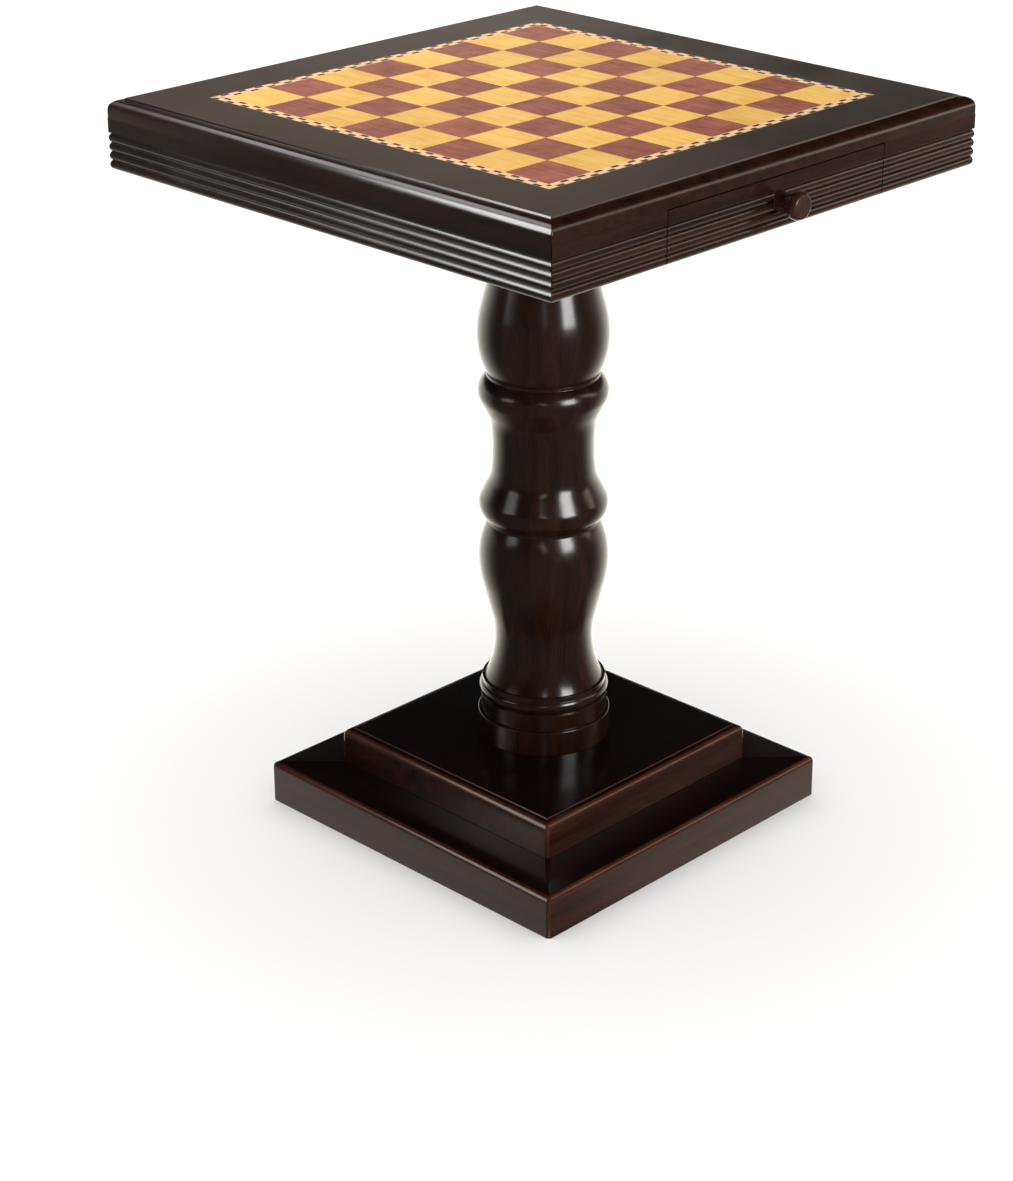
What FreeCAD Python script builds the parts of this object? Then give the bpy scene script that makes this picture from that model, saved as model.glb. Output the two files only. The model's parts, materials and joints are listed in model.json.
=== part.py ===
import FreeCAD, Part
import math
import os
import Sketcher
from FreeCAD import Placement, Rotation, Vector

# Pedestal gaming table with an inlaid chessboard top and two drawers, one for each player.
# Millimetres. Origin on the floor under the middle of the table, +Z up. A player sits at -Y
# (the front) and the other at +Y (the back), each with a drawer; +X is the front player's right.

doc = FreeCAD.newDocument("GamingTable")

# (alias, value, what it is)
dimensions = [
    ("tableHeight", 711.2, "floor to playing surface, 28 inches"),
    ("topWidth", 552.45, "side of the square top, 21.75 inches"),
    ("topThick", 18, "thickness of the top panel"),
    ("topRound", 10, "radius of the top panel's rounded edge"),
    ("topStep", 1.5, "width and height of the small step above the rounded edge"),
    ("squareSize", 50, "side of one chessboard square"),
    ("bandingWidth", 11, "width of the inlaid banding round the board"),
    ("inlayThick", 1, "thickness of squares and banding"),
    ("apronHeight", 47, "height of the apron below the top panel"),
    ("apronThick", 20, "thickness of apron and drawer faces"),
    ("reedPitch", 8.2, "height of one reed of the apron moulding"),
    ("reedDepth", 1.8, "depth of the grooves between reeds"),
    ("bandChamfer", 1, "small bevel under the plain band"),
    ("drawerWidth", 282, "width of a drawer face"),
    ("drawerGap", 1, "gap at each end of a drawer face"),
    ("drawerTopGap", 1.2, "gap between a drawer face and the top panel"),
    ("boxWidth", 276, "width of a drawer box over its sides"),
    ("boxLength", 225.2, "length of a drawer side behind the face"),
    ("boxHeight", 32.6, "height of a drawer side"),
    ("boxThick", 10, "thickness of drawer sides and back"),
    ("boxLift", 0.4, "running clearance under a drawer"),
    ("floorThick", 3, "thickness of a drawer's bottom panel"),
    ("floorLift", 3, "height of the bottom groove over a side's lower edge"),
    ("grooveDepth", 4, "depth of the groove that holds the bottom panel"),
    ("grooveClear", 0.2, "clearance on each side of a panel in its groove"),
    ("knobHeight", 670, "height of the knobs above the floor"),
    ("knobLength", 25.4, "how far a knob stands out, 1 inch"),
    ("knobFoot", 9.5, "radius of a knob where it meets the drawer face"),
    ("knobNeckArc", 16, "radius of the hollow of the knob's neck"),
    ("knobHeadStart", 15.5, "distance of the knob's head from the face"),
    ("knobHeadFoot", 11, "radius where neck and head meet"),
    ("knobRimArc", 8, "radius of the rounded rim of the head"),
    ("knobFrontEdge", 10.8, "radius of the head at its front edge"),
    ("knobFlat", 10, "radius of the flat front of the head"),
    ("knobBevel", 0.5, "small bevel round the flat front"),
    ("knobBore", 14, "depth of the screw hole in a knob"),
    ("boardThick", 9, "thickness of the board that closes the drawer case below"),
    ("boardGap", 0.5, "gap between that board and a closed drawer face"),
    ("guideWidth", 18, "width of a drawer guide"),
    ("guideGap", 1, "side clearance of a drawer between its guides"),
    ("dividerThick", 12, "thickness of the boards that the drawers close against"),
    ("dividerGap", 0.5, "gap between a closed drawer and its divider"),
    ("travel", 160, "how far a drawer pulls out"),
    ("stopThick", 6, "thickness of the block that stops a drawer"),
    ("stopWidth", 36, "width of that block"),
    ("stopLength", 18, "length of that block"),
    ("cornerLeg", 60, "leg of a triangular corner block"),
    ("cornerHeight", 30, "height of a corner block"),
    ("footDiscRadius", 64.2, "radius of the disc under the column"),
    ("footDiscHeight", 24.5, "height of that disc"),
    ("discEdge", 1.2, "radius of the disc's upper edge"),
    ("endLength", 197.5, "length of the upper and lower column sections"),
    ("middleLength", 150, "length of the middle column section"),
    ("footRadius", 61.2, "radius of a section's plain foot"),
    ("footHeight", 16.5, "height of that foot"),
    ("beadRadius", 62.5, "largest radius of the bead over the foot"),
    ("beadArc", 8, "radius of the bead's round"),
    ("beadHeight", 12, "height of the bead"),
    ("beadGap", 1, "height of the quirk between foot and bead"),
    ("listelHeight", 5, "height of the fillet over the bead"),
    ("neckRadius", 47.2, "smallest radius of the neck"),
    ("neckHeight", 77, "height of the neck above the section's foot"),
    ("neckArc", 97, "radius of the neck's hollow"),
    ("bulbRadius", 62.2, "largest radius of the bulb"),
    ("bulbHeight", 161.5, "height of the bulb above the section's foot"),
    ("bulbLowArc", 110, "radius of the bulb's round towards the neck"),
    ("bulbTopArc", 76, "radius of the bulb's round towards the joint"),
    ("coveRadius", 48.2, "smallest radius of the middle section"),
    ("coveArc", 220, "radius of the middle section's long hollow"),
    ("coveHalf", 22, "half height of that hollow"),
    ("coveEndArc", 36, "radius where the hollow turns outwards"),
    ("torusRadius", 61.6, "largest radius of the middle section's rings"),
    ("torusArc", 19, "radius of those rings' round"),
    ("torusOffset", 56.5, "distance of those rings from the section's middle"),
    ("pinchRadius", 53.5, "radius at a joint between two sections"),
    ("spigotRadius", 20, "radius of the spigot that centres a joint"),
    ("spigotLength", 9, "length of a spigot"),
    ("socketClear", 0.2, "radial clearance of a spigot in its socket"),
    ("socketExtra", 0.5, "clearance at the end of a spigot"),
    ("rodRadius", 5, "radius of the steel tie rod"),
    ("boreRadius", 5.5, "radius of the bore that the tie rod passes through"),
    ("nutWidth", 17, "width across flats of the tie rod's nuts"),
    ("nutHeight", 8, "height of a nut"),
    ("rodProud", 4, "length of rod that shows past a nut"),
    ("washerRadius", 15, "radius of the lower washer"),
    ("washerThick", 2, "thickness of the lower washer"),
    ("plateLength", 150, "length of the steel plate on the closing board"),
    ("plateWidth", 30, "width of that plate"),
    ("plateThick", 3, "thickness of that plate"),
    ("blockWidth", 280, "side of the upper square of the base, 11 inches"),
    ("blockHeight", 36.5, "height of the upper square of the base"),
    ("blockRound", 7, "radius of its rounded edge"),
    ("blockStep", 1.2, "width and height of the small step above that edge"),
    ("slabWidth", 380, "side of the lower square of the base"),
    ("slabHeight", 42, "height of the lower square of the base"),
    ("slabRound", 6, "radius of its rounded edge"),
    ("railWidth", 70, "width of one mitred rail of the lower square"),
    ("coreThick", 18, "thickness of the panel inside the rails"),
    ("mitreOver", 5, "how far the triangle that cuts a mitre reaches past its rail"),
    ("screwRadius", 2.2, "radius of a wood screw's shank"),
    ("screwHeadRadius", 4, "radius of a countersunk head"),
    ("screwHeadHeight", 2.6, "height of a countersunk head"),
    ("screwClear", 0.2, "radial clearance round a screw"),
    ("boltRadius", 2.7, "radius of a base screw's shank"),
    ("boltHeadRadius", 5, "radius of a base screw's head"),
    ("boltHeadHeight", 3, "height of a base screw's head"),
    ("boltLength", 50, "length of a base screw under its head"),
    ("boltSink", 10, "depth of the counterbore for a base screw's head"),
    ("knobScrewLength", 30, "length of a knob screw"),
    ("guideScrewLength", 30, "length of a guide screw"),
    ("cornerScrewLength", 38, "length of a corner block screw"),
    ("stopScrewLength", 14, "length of a stop block screw"),
    ("plateScrewLength", 10, "length of a plate screw"),
]

sizes = doc.addObject("Spreadsheet::Sheet", "Sizes")
for row, (alias, value, note) in enumerate(dimensions, start=1):
    sizes.set(f"A{row}", note)
    sizes.set(f"B{row}", str(value))
    sizes.setAlias(f"B{row}", alias)
doc.recompute()

subparts = []                   # every object that is a piece of the table


def size(alias):
    """The value of one driving dimension."""
    return float(sizes.get(alias))


def keep(piece, label):
    """Name a finished piece and add it to the table."""
    piece.Label = label
    subparts.append(piece)
    return piece


def place(piece, x=0, y=0, z=0, turn=None):
    """Put a piece in the table's frame; each coordinate is a number or an expression."""
    piece.Placement = Placement(Vector(), turn or Rotation())
    for axis, value in zip("xyz", (x, y, z)):
        piece.setExpression(f"Placement.Base.{axis}", str(value))


def turned(angle):
    """Rotation about the vertical."""
    return Rotation(Vector(0, 0, 1), angle)


# ---- sketches ----

def newSketch(body, role="XY_Plane", offset=None):
    """Empty sketch on one of the body's own origin planes, raised along its normal by offset."""
    sketch = body.newObject("Sketcher::SketchObject", "Sketch")
    plane = next(f for f in body.Origin.OriginFeatures if f.Role == role)
    sketch.AttachmentSupport = [(plane, "")]
    sketch.MapMode = "FlatFace"
    if offset:
        sketch.setExpression("AttachmentOffset.Base.z", offset)
    return sketch


def drive(sketch, expression, kind, *where):
    """Dimensional constraint that follows an expression."""
    value = float(sketch.evalExpression(expression))
    index = sketch.addConstraint(Sketcher.Constraint(kind, *where, value))
    sketch.setExpression(f"Constraints[{index}]", expression)


def pin(sketch, geometry, point, x=None, y=None):
    """Hold a point at x, y from the sketch's origin; each is an expression, or None if free."""
    for kind, axis, expression in (("DistanceX", -2, x), ("DistanceY", -1, y)):
        if expression == "0":
            sketch.addConstraint(Sketcher.Constraint("PointOnObject", geometry, point, axis))
        elif expression is not None:
            drive(sketch, expression, kind, -1, 1, geometry, point)


def circle(sketch, radius, x="0", y="0"):
    centre = Vector(float(sketch.evalExpression(x)), float(sketch.evalExpression(y)), 0)
    radiusNow = float(sketch.evalExpression(radius))
    index = sketch.addGeometry(Part.Circle(centre, Vector(0, 0, 1), radiusNow))
    pin(sketch, index, 3, x, y)
    drive(sketch, radius, "Radius", index)


def arcBetween(start, end, radius, side):
    """Arc of less than half a turn; side +1 bulges to the right of start-end, -1 to the left."""
    chord = end - start
    across = Vector(chord.y, -chord.x, 0).normalize()
    drop = math.sqrt(radius ** 2 - (chord.Length / 2) ** 2)
    middle = (start + end) / 2
    crown = middle + across * side * (radius - drop)
    return Part.Arc(start, crown, end)


def outline(sketch, corners, arcs=None, smooth=(), guesses=None):
    """Closed outline through corners, each an (x, y) of expressions, with None where the
    constraints settle it. arcs maps a side's number to (radius, side, centre x, centre y).
    smooth lists the corners where two sides run into each other without a break. guesses
    gives a free corner's rough place."""
    arcs = arcs or {}
    guesses = guesses or {}
    first = sketch.GeometryCount
    points = []
    for number, (x, y) in enumerate(corners):
        nearX, nearY = guesses.get(number, (0, 0))
        atX = nearX if x is None else float(sketch.evalExpression(x))
        atY = nearY if y is None else float(sketch.evalExpression(y))
        points.append(Vector(atX, atY, 0))
    ends = []
    for number, start in enumerate(points):
        end = points[(number + 1) % len(points)]
        if number in arcs:
            radius, side = arcs[number][:2]
            shape = arcBetween(start, end, float(sketch.evalExpression(radius)), side)
            sketch.addGeometry(shape)
            ends.append((1, 2) if side > 0 else (2, 1))
        else:
            sketch.addGeometry(Part.LineSegment(start, end))
            ends.append((1, 2))
    for number in range(len(points)):
        previous = (number - 1) % len(points)
        kind = "Tangent" if number in smooth else "Coincident"
        joint = (first + previous, ends[previous][1], first + number, ends[number][0])
        sketch.addConstraint(Sketcher.Constraint(kind, *joint))
    for number, (x, y) in enumerate(corners):
        pin(sketch, first + number, ends[number][0], x, y)
    for number, (radius, side, *centre) in arcs.items():
        drive(sketch, radius, "Radius", first + number)
        if centre:
            pin(sketch, first + number, 3, *centre)


def rectangle(sketch, left, right, low, high):
    outline(sketch, [(left, low), (right, low), (right, high), (left, high)])


def centredRectangle(sketch, width, depth):
    rectangle(sketch, f"-({width}) / 2", f"({width}) / 2", f"-({depth}) / 2", f"({depth}) / 2")


# ---- features ----

def newBody():
    return doc.addObject("PartDesign::Body", "Body")


def pad(body, sketch, length, symmetric=False):
    feature = body.newObject("PartDesign::Pad", "Pad")
    feature.Profile = sketch
    feature.SideType = "Symmetric" if symmetric else "One side"
    feature.setExpression("Length", length)
    return feature


def pocket(body, sketch, depth=None, upwards=False, symmetric=False):
    """Cut along the sketch's normal, downwards unless told; with no depth, right through."""
    feature = body.newObject("PartDesign::Pocket", "Pocket")
    feature.Profile = sketch
    if depth:
        feature.SideType = "Symmetric" if symmetric else "One side"
        feature.setExpression("Length", depth)
        feature.Reversed = upwards
    else:
        feature.Type = "ThroughAll"
        feature.SideType = "Symmetric"
    return feature


def revolve(body, sketch):
    """Turn a profile drawn on XZ_Plane once round the Z axis."""
    feature = body.newObject("PartDesign::Revolution", "Revolution")
    feature.Profile = sketch
    feature.ReferenceAxis = (sketch, ["V_Axis"])
    feature.Angle = 360
    return feature


def holes(body, radius, spots, offset=None, depth=None, upwards=False):
    """Round holes along Z at (x, y) expressions, cut from the height given by offset."""
    sketch = newSketch(body, "XY_Plane", offset)
    for x, y in spots:
        circle(sketch, radius, x, y)
    return pocket(body, sketch, depth, upwards)


# ---- shared shapes ----

def plainBoard(label, width, depth, thick):
    """Rectangular board standing on its local z = 0, centred in x and y."""
    body = newBody()
    sketch = newSketch(body)
    centredRectangle(sketch, width, depth)
    pad(body, sketch, thick)
    return keep(body, label)


def steppedBoard(label, width, thick, edgeRound, step):
    """Square board whose upper edge is a quarter round under a small raised step."""
    body = newBody()
    sketch = newSketch(body)
    centredRectangle(sketch, width, width)
    slab = pad(body, sketch, f"{thick} - {step}")
    doc.recompute()
    top = slab.Shape.BoundBox.ZMax
    names = [f"Edge{number}" for number, edge in enumerate(slab.Shape.Edges, start=1)
             if edge.BoundBox.ZMin > top - 0.01]
    edges = body.newObject("PartDesign::Fillet", "Round")
    edges.Base = (slab, names)
    edges.setExpression("Radius", edgeRound)
    field = newSketch(body, "XY_Plane", f"{thick} - {step}")
    fieldWidth = f"{width} - 2 * ({edgeRound} + {step})"
    centredRectangle(field, fieldWidth, fieldWidth)
    pad(body, field, step)
    return keep(body, label)


def mitre(body, length, width, ends):
    """Cut the ends (-1, 1 or both) of a rail at 45 degrees; its outer face is y = 0."""
    over = "Sizes.mitreOver"
    sketch = newSketch(body)
    for end in ends:
        tip = f"{end} * ({length} / 2 + {over})"
        inner = f"{end} * ({length} / 2 - {width} - {over})"
        corners = [(tip, f"-{over}"), (tip, f"{width} + {over}"), (inner, f"{width} + {over}")]
        outline(sketch, corners)
    pocket(body, sketch)


def reededProfile(sketch, height):
    """Apron section: y is sketch x, outer face at 0, plain band above four round reeds."""
    thick = "Sizes.apronThick"
    grooves = [("Sizes.reedDepth", f"{count} * Sizes.reedPitch") for count in (4, 3, 2, 1)]
    band = ("0", "4 * Sizes.reedPitch + Sizes.bandChamfer")
    corners = [(thick, "0"), (thick, height), ("0", height), band] + grooves
    corners.append(("Sizes.reedDepth", "0"))
    radius = "(Sizes.reedPitch ^ 2 / 4 + Sizes.reedDepth ^ 2) / (2 * Sizes.reedDepth)"
    outline(sketch, corners, arcs={number: (radius, 1) for number in (4, 5, 6, 7)})


def apron(label, length, mitred):
    """Reeded apron rail along local x, its outer face at y = 0 and its lower edge at z = 0."""
    body = newBody()
    sketch = newSketch(body, "YZ_Plane")
    reededProfile(sketch, "Sizes.apronHeight")
    pad(body, sketch, length, symmetric=True)
    mitre(body, length, "Sizes.apronThick", mitred)
    return keep(body, label)


def group(label, members):
    """Several equal solids that make one piece of the list."""
    compound = doc.addObject("Part::Compound", "Group")
    compound.Links = members
    return keep(compound, label)


def countersunkScrew(radius, headRadius, headHeight, length, spot, turn):
    """Screw whose head's flat lies at spot and whose point lies along the turned +Z."""
    head = doc.addObject("Part::Cone", "Head")
    head.setExpression("Radius1", headRadius)
    head.setExpression("Radius2", radius)
    head.setExpression("Height", headHeight)
    shank = doc.addObject("Part::Cylinder", "Shank")
    shank.setExpression("Radius", radius)
    shank.setExpression("Height", length)
    screw = doc.addObject("Part::MultiFuse", "Screw")
    screw.Shapes = [head, shank]
    screw.Refine = True
    screw.Placement = Placement(spot, turn)
    return screw


def woodScrew(length, spot, turn=Rotation()):
    head = ("Sizes.screwRadius", "Sizes.screwHeadRadius", "Sizes.screwHeadHeight")
    return countersunkScrew(*head, length, spot, turn)


# ---- heights and places shared by several pieces ----

panelBase = "(Sizes.tableHeight - Sizes.topThick)"
apronBase = f"({panelBase} - Sizes.apronHeight)"
blockBase = "Sizes.slabHeight"
discBase = "(Sizes.slabHeight + Sizes.blockHeight)"
lowerBase = f"({discBase} + Sizes.footDiscHeight)"
middleCentre = f"({lowerBase} + Sizes.endLength + Sizes.middleLength / 2)"
columnTop = f"({lowerBase} + 2 * Sizes.endLength + Sizes.middleLength)"
boardTop = f"({columnTop} + Sizes.boardThick)"
boxBase = f"({boardTop} + Sizes.boxLift)"
faceBack = "(Sizes.topWidth / 2 - Sizes.apronThick)"
guideCentre = "(Sizes.boxWidth / 2 + Sizes.guideGap + Sizes.guideWidth / 2)"
guideScrewRows = ("-Sizes.boxLength * 4 / 5", "0", "Sizes.boxLength * 4 / 5")
dividerCentre = f"({faceBack} - Sizes.boxLength - Sizes.dividerGap - Sizes.dividerThick / 2)"
stopCentre = (f"({faceBack} - Sizes.boxLength + Sizes.boxThick + Sizes.travel"
              " + Sizes.dividerGap + Sizes.stopLength / 2)")
railScrewLine = "(Sizes.slabWidth / 2 - Sizes.railWidth + Sizes.blockWidth / 2) / 2"
railScrewHalf = "Sizes.railWidth * 6 / 7"
floorWidth = "(Sizes.boxWidth - 2 * (Sizes.boxThick - Sizes.grooveDepth + Sizes.grooveClear))"


def measure(expression):
    """The number that an expression in sheet values gives now."""
    return float(sizes.evalExpression(expression))


# ---- top: panel, board and banding ----

def topPanel():
    inlayWidth = "8 * Sizes.squareSize + 2 * Sizes.bandingWidth"
    body = steppedBoard("top_panel", "Sizes.topWidth", "Sizes.topThick", "Sizes.topRound",
                        "Sizes.topStep")
    recess = newSketch(body, "XY_Plane", "Sizes.topThick")
    centredRectangle(recess, inlayWidth, inlayWidth)
    pocket(body, recess, "Sizes.inlayThick")
    pilot = "Sizes.screwRadius + Sizes.screwClear"
    corner = "Sizes.topWidth / 2 - Sizes.apronThick - Sizes.cornerLeg / 3"
    spots = [(f"{sideX} * ({corner})", f"{sideY} * ({corner})")
             for sideX in (-1, 1) for sideY in (-1, 1)]
    spots += [("0", f"{side} * ({stopCentre})") for side in (-1, 1)]
    holes(body, pilot, spots, depth="Sizes.topThick / 2", upwards=True)
    place(body, z=panelBase)


def chessSquares(label, parity):
    """Squares of one colour; parity 0 holds the near left corner of each player."""
    squares = []
    for column in range(8):
        for row in range(8):
            if (column + row) % 2 != parity:
                continue
            square = doc.addObject("Part::Box", "Square")
            square.setExpression("Length", "Sizes.squareSize")
            square.setExpression("Width", "Sizes.squareSize")
            square.setExpression("Height", "Sizes.inlayThick")
            place(square, f"{column - 4} * Sizes.squareSize", f"{row - 4} * Sizes.squareSize",
                  "Sizes.tableHeight - Sizes.inlayThick")
            squares.append(square)
    group(label, squares)


def banding():
    """Four strips round the board, each butting against the side of the next."""
    outer = "(4 * Sizes.squareSize + Sizes.bandingWidth)"
    strips = []
    for quarter, (sideX, sideY) in enumerate(((-1, -1), (1, -1), (1, 1), (-1, 1))):
        strip = doc.addObject("Part::Box", "Strip")
        strip.setExpression("Length", f"2 * {outer} - Sizes.bandingWidth")
        strip.setExpression("Width", "Sizes.bandingWidth")
        strip.setExpression("Height", "Sizes.inlayThick")
        place(strip, f"{sideX} * {outer}", f"{sideY} * {outer}",
              "Sizes.tableHeight - Sizes.inlayThick", turned(90 * quarter))
        strips.append(strip)
    group("banding_strips", strips)


# ---- drawer case: aprons, guides, dividers and the board below ----

def aprons():
    longLength = "Sizes.topWidth"
    for label, sideX in (("apron_left", -1), ("apron_right", 1)):
        rail = apron(label, longLength, (-1, 1))
        place(rail, f"{sideX} * Sizes.topWidth / 2", z=apronBase, turn=turned(90 * sideX))
    opening = "(Sizes.drawerWidth / 2 + Sizes.drawerGap)"
    shortLength = f"(Sizes.topWidth / 2 - {opening})"
    middle = f"({opening} + {shortLength} / 2)"
    for end, outward in (("front", -1), ("back", 1)):
        for hand, sideX in (("left", -1), ("right", 1)):
            rail = apron(f"apron_{end}_{hand}", shortLength, (-outward * sideX,))
            place(rail, f"{sideX} * {middle}", f"{outward} * Sizes.topWidth / 2", apronBase,
                  turned(0 if outward < 0 else 180))


def closingBoard():
    body = plainBoard("bottom_board", f"2 * {faceBack}", f"2 * ({faceBack} - Sizes.boardGap)",
                      "Sizes.boardThick")
    holes(body, "Sizes.spigotRadius + Sizes.socketClear", [("0", "0")])
    holes(body, "Sizes.screwRadius + Sizes.screwClear", guideScrewSpots() + plateScrewSpots())
    holes(body, "Sizes.screwHeadRadius + Sizes.screwClear", guideScrewSpots(),
          depth="Sizes.screwHeadHeight", upwards=True)
    place(body, z=columnTop)


def guideScrewSpots():
    return [(f"{sideX} * {guideCentre}", spotY) for sideX in (-1, 1) for spotY in guideScrewRows]


def plateScrewSpots():
    return [(f"{sideX} * Sizes.plateLength * 2 / 5", "0") for sideX in (-1, 1)]


def drawerGuides():
    height = f"{panelBase} - {boardTop}"
    for label, sideX in (("guide_left", -1), ("guide_right", 1)):
        body = plainBoard(label, "Sizes.guideWidth", f"2 * ({faceBack} - Sizes.boardGap)", height)
        holes(body, "Sizes.screwRadius + Sizes.screwClear", [("0", y) for y in guideScrewRows],
              depth="Sizes.guideScrewLength", upwards=True)
        place(body, f"{sideX} * {guideCentre}", z=boardTop)
    length = f"2 * {guideCentre} - Sizes.guideWidth"
    for label, sideY in (("divider_front", -1), ("divider_back", 1)):
        body = plainBoard(label, length, "Sizes.dividerThick", height)
        place(body, 0, f"{sideY} * {dividerCentre}", boardTop)


def drawerStops():
    """Blocks under the top panel that the drawers' backs meet at the end of their travel."""
    for label, sideY in (("stop_front", -1), ("stop_back", 1)):
        body = plainBoard(label, "Sizes.stopWidth", "Sizes.stopLength", "Sizes.stopThick")
        drillForHead(body, "0", "0")
        place(body, 0, f"{sideY} * {stopCentre}", f"{panelBase} - Sizes.stopThick")


def drillForHead(body, x, y):
    """Screw hole upwards from z = 0 with room for the head."""
    holes(body, "Sizes.screwRadius + Sizes.screwClear", [(x, y)])
    holes(body, "Sizes.screwHeadRadius + Sizes.screwClear", [(x, y)],
          depth="Sizes.screwHeadHeight", upwards=True)


def cornerBlocks():
    blocks = []
    inset = "-Sizes.cornerLeg / 3"
    for quarter, (sideX, sideY) in enumerate(((1, 1), (-1, 1), (-1, -1), (1, -1))):
        body = newBody()
        sketch = newSketch(body)
        outline(sketch, [("0", "0"), ("-Sizes.cornerLeg", "0"), ("0", "-Sizes.cornerLeg")])
        pad(body, sketch, "Sizes.cornerHeight")
        drillForHead(body, inset, inset)
        place(body, f"{sideX} * {faceBack}", f"{sideY} * {faceBack}",
              f"{panelBase} - Sizes.cornerHeight", turned(90 * quarter))
        blocks.append(body)
    group("corner_blocks", blocks)


# ---- column: three turned sections on a disc ----

def endSection(label):
    """Turned section with a bead at its foot, a neck and a bulb; its foot is at z = 0."""
    body = newBody()
    sketch = newSketch(body, "XZ_Plane")
    socket = "Sizes.spigotRadius + Sizes.socketClear"
    socketFloor = "Sizes.endLength - Sizes.spigotLength - Sizes.socketExtra"
    beadCentre = "Sizes.footHeight + Sizes.beadGap + Sizes.beadHeight / 2"
    beadAxis = "Sizes.beadRadius - Sizes.beadArc"
    beadFoot = f"({beadAxis} + sqrt(Sizes.beadArc ^ 2 - Sizes.beadHeight ^ 2 / 4))"
    beadLow = "Sizes.footHeight + Sizes.beadGap"
    beadTop = f"{beadLow} + Sizes.beadHeight"
    shoulder = f"({beadTop} + Sizes.listelHeight)"
    neckAxis = "Sizes.neckRadius + Sizes.neckArc"
    corners = [
        ("Sizes.boreRadius", "-Sizes.spigotLength"),
        ("Sizes.spigotRadius", "-Sizes.spigotLength"),
        ("Sizes.spigotRadius", "0"),
        ("Sizes.footRadius", "0"),
        ("Sizes.footRadius", "Sizes.footHeight"),
        (beadFoot, beadLow),
        (beadFoot, beadTop),
        (beadFoot, shoulder),
        (None, shoulder),
        (None, None),
        (None, None),
        ("Sizes.bulbRadius", "Sizes.bulbHeight"),
        (None, "Sizes.endLength"),
        (socket, "Sizes.endLength"),
        (socket, socketFloor),
        ("Sizes.boreRadius", socketFloor),
    ]
    neckArc = measure("Sizes.neckArc")
    neckTop = measure("Sizes.neckHeight") + neckArc / 4
    bulbFoot = measure("Sizes.bulbHeight - Sizes.bulbLowArc / 4")
    guesses = {
        8: (measure(beadFoot) - 2, 0),
        9: (measure("Sizes.neckRadius") + neckArc / 32, neckTop),
        10: (measure("Sizes.bulbRadius - Sizes.bulbLowArc / 32"), bulbFoot),
        12: (measure("Sizes.pinchRadius"), 0),
    }
    arcs = {
        5: ("Sizes.beadArc", 1),
        8: ("Sizes.neckArc", -1, neckAxis, "Sizes.neckHeight"),
        10: ("Sizes.bulbLowArc", 1),
        11: ("Sizes.bulbTopArc", 1, None, "Sizes.bulbHeight"),
    }
    outline(sketch, corners, arcs, smooth=(9, 10, 11), guesses=guesses)
    revolve(body, sketch)
    return keep(body, label)


def middleSection():
    """Turned section with a ring at each end of a long hollow; its middle is at z = 0."""
    body = newBody()
    sketch = newSketch(body, "XZ_Plane")
    half = "Sizes.middleLength / 2"
    spigotEnd = f"{half} + Sizes.spigotLength"
    ringAxis = "Sizes.torusRadius - Sizes.torusArc"
    corners = [
        ("Sizes.boreRadius", "0"),
        ("Sizes.coveRadius", "0"),
        (None, "Sizes.coveHalf"),
        (None, None),
        (None, None),
        ("Sizes.pinchRadius", None),
        ("Sizes.pinchRadius", half),
        ("Sizes.spigotRadius", half),
        ("Sizes.spigotRadius", spigotEnd),
        ("Sizes.boreRadius", spigotEnd),
    ]
    cove = measure("Sizes.coveRadius")
    torus = measure("Sizes.torusRadius")
    coveHalf = measure("Sizes.coveHalf")
    torusOffset = measure("Sizes.torusOffset")
    guesses = {
        2: (cove + 1, 0),
        3: (cove + (torus - cove) / 3, coveHalf + (torusOffset - coveHalf) / 3),
        4: (torus - 2, torusOffset - measure("Sizes.torusArc") / 2),
        5: (0, measure(half) - 2),
    }
    arcs = {
        1: ("Sizes.coveArc", -1, None, "0"),
        2: ("Sizes.coveEndArc", -1),
        4: ("Sizes.torusArc", 1, ringAxis, "Sizes.torusOffset"),
    }
    outline(sketch, corners, arcs, smooth=(2, 3, 4), guesses=guesses)
    turnedHalf = revolve(body, sketch)
    doc.recompute()
    mirrored = body.newObject("PartDesign::Mirrored", "Mirrored")
    mirrored.Originals = [turnedHalf]
    plane = next(f for f in body.Origin.OriginFeatures if f.Role == "XY_Plane")
    mirrored.MirrorPlane = (plane, [""])
    body.Tip = mirrored
    return keep(body, "column_middle")


def footDisc():
    body = newBody()
    sketch = newSketch(body)
    circle(sketch, "Sizes.footDiscRadius")
    disc = pad(body, sketch, "Sizes.footDiscHeight")
    doc.recompute()
    top = disc.Shape.BoundBox.ZMax
    name = next(f"Edge{number}" for number, edge in enumerate(disc.Shape.Edges, start=1)
                if edge.BoundBox.ZMin > top - 0.01)
    edge = body.newObject("PartDesign::Fillet", "Round")
    edge.Base = (disc, [name])
    edge.setExpression("Radius", "Sizes.discEdge")
    holes(body, "Sizes.boreRadius", [("0", "0")])
    holes(body, "Sizes.spigotRadius + Sizes.socketClear", [("0", "0")],
          offset="Sizes.footDiscHeight", depth="Sizes.spigotLength + Sizes.socketExtra")
    return keep(body, "column_disc")


def column():
    place(endSection("column_lower"), z=lowerBase)
    place(middleSection(), z=middleCentre)
    place(endSection("column_upper"), z=columnTop, turn=Rotation(Vector(1, 0, 0), 180))
    place(footDisc(), z=discBase)


# ---- base: a square block on a mitred frame ----

def baseBlock():
    body = steppedBoard("base_block", "Sizes.blockWidth", "Sizes.blockHeight",
                        "Sizes.blockRound", "Sizes.blockStep")
    holes(body, "Sizes.boreRadius", [("0", "0")])
    depth = "Sizes.boltSink + Sizes.boltLength + Sizes.socketExtra - Sizes.slabHeight"
    holes(body, "Sizes.boltRadius + Sizes.screwClear", baseScrewSpots(), depth=depth,
          upwards=True)
    place(body, z=blockBase)


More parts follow.
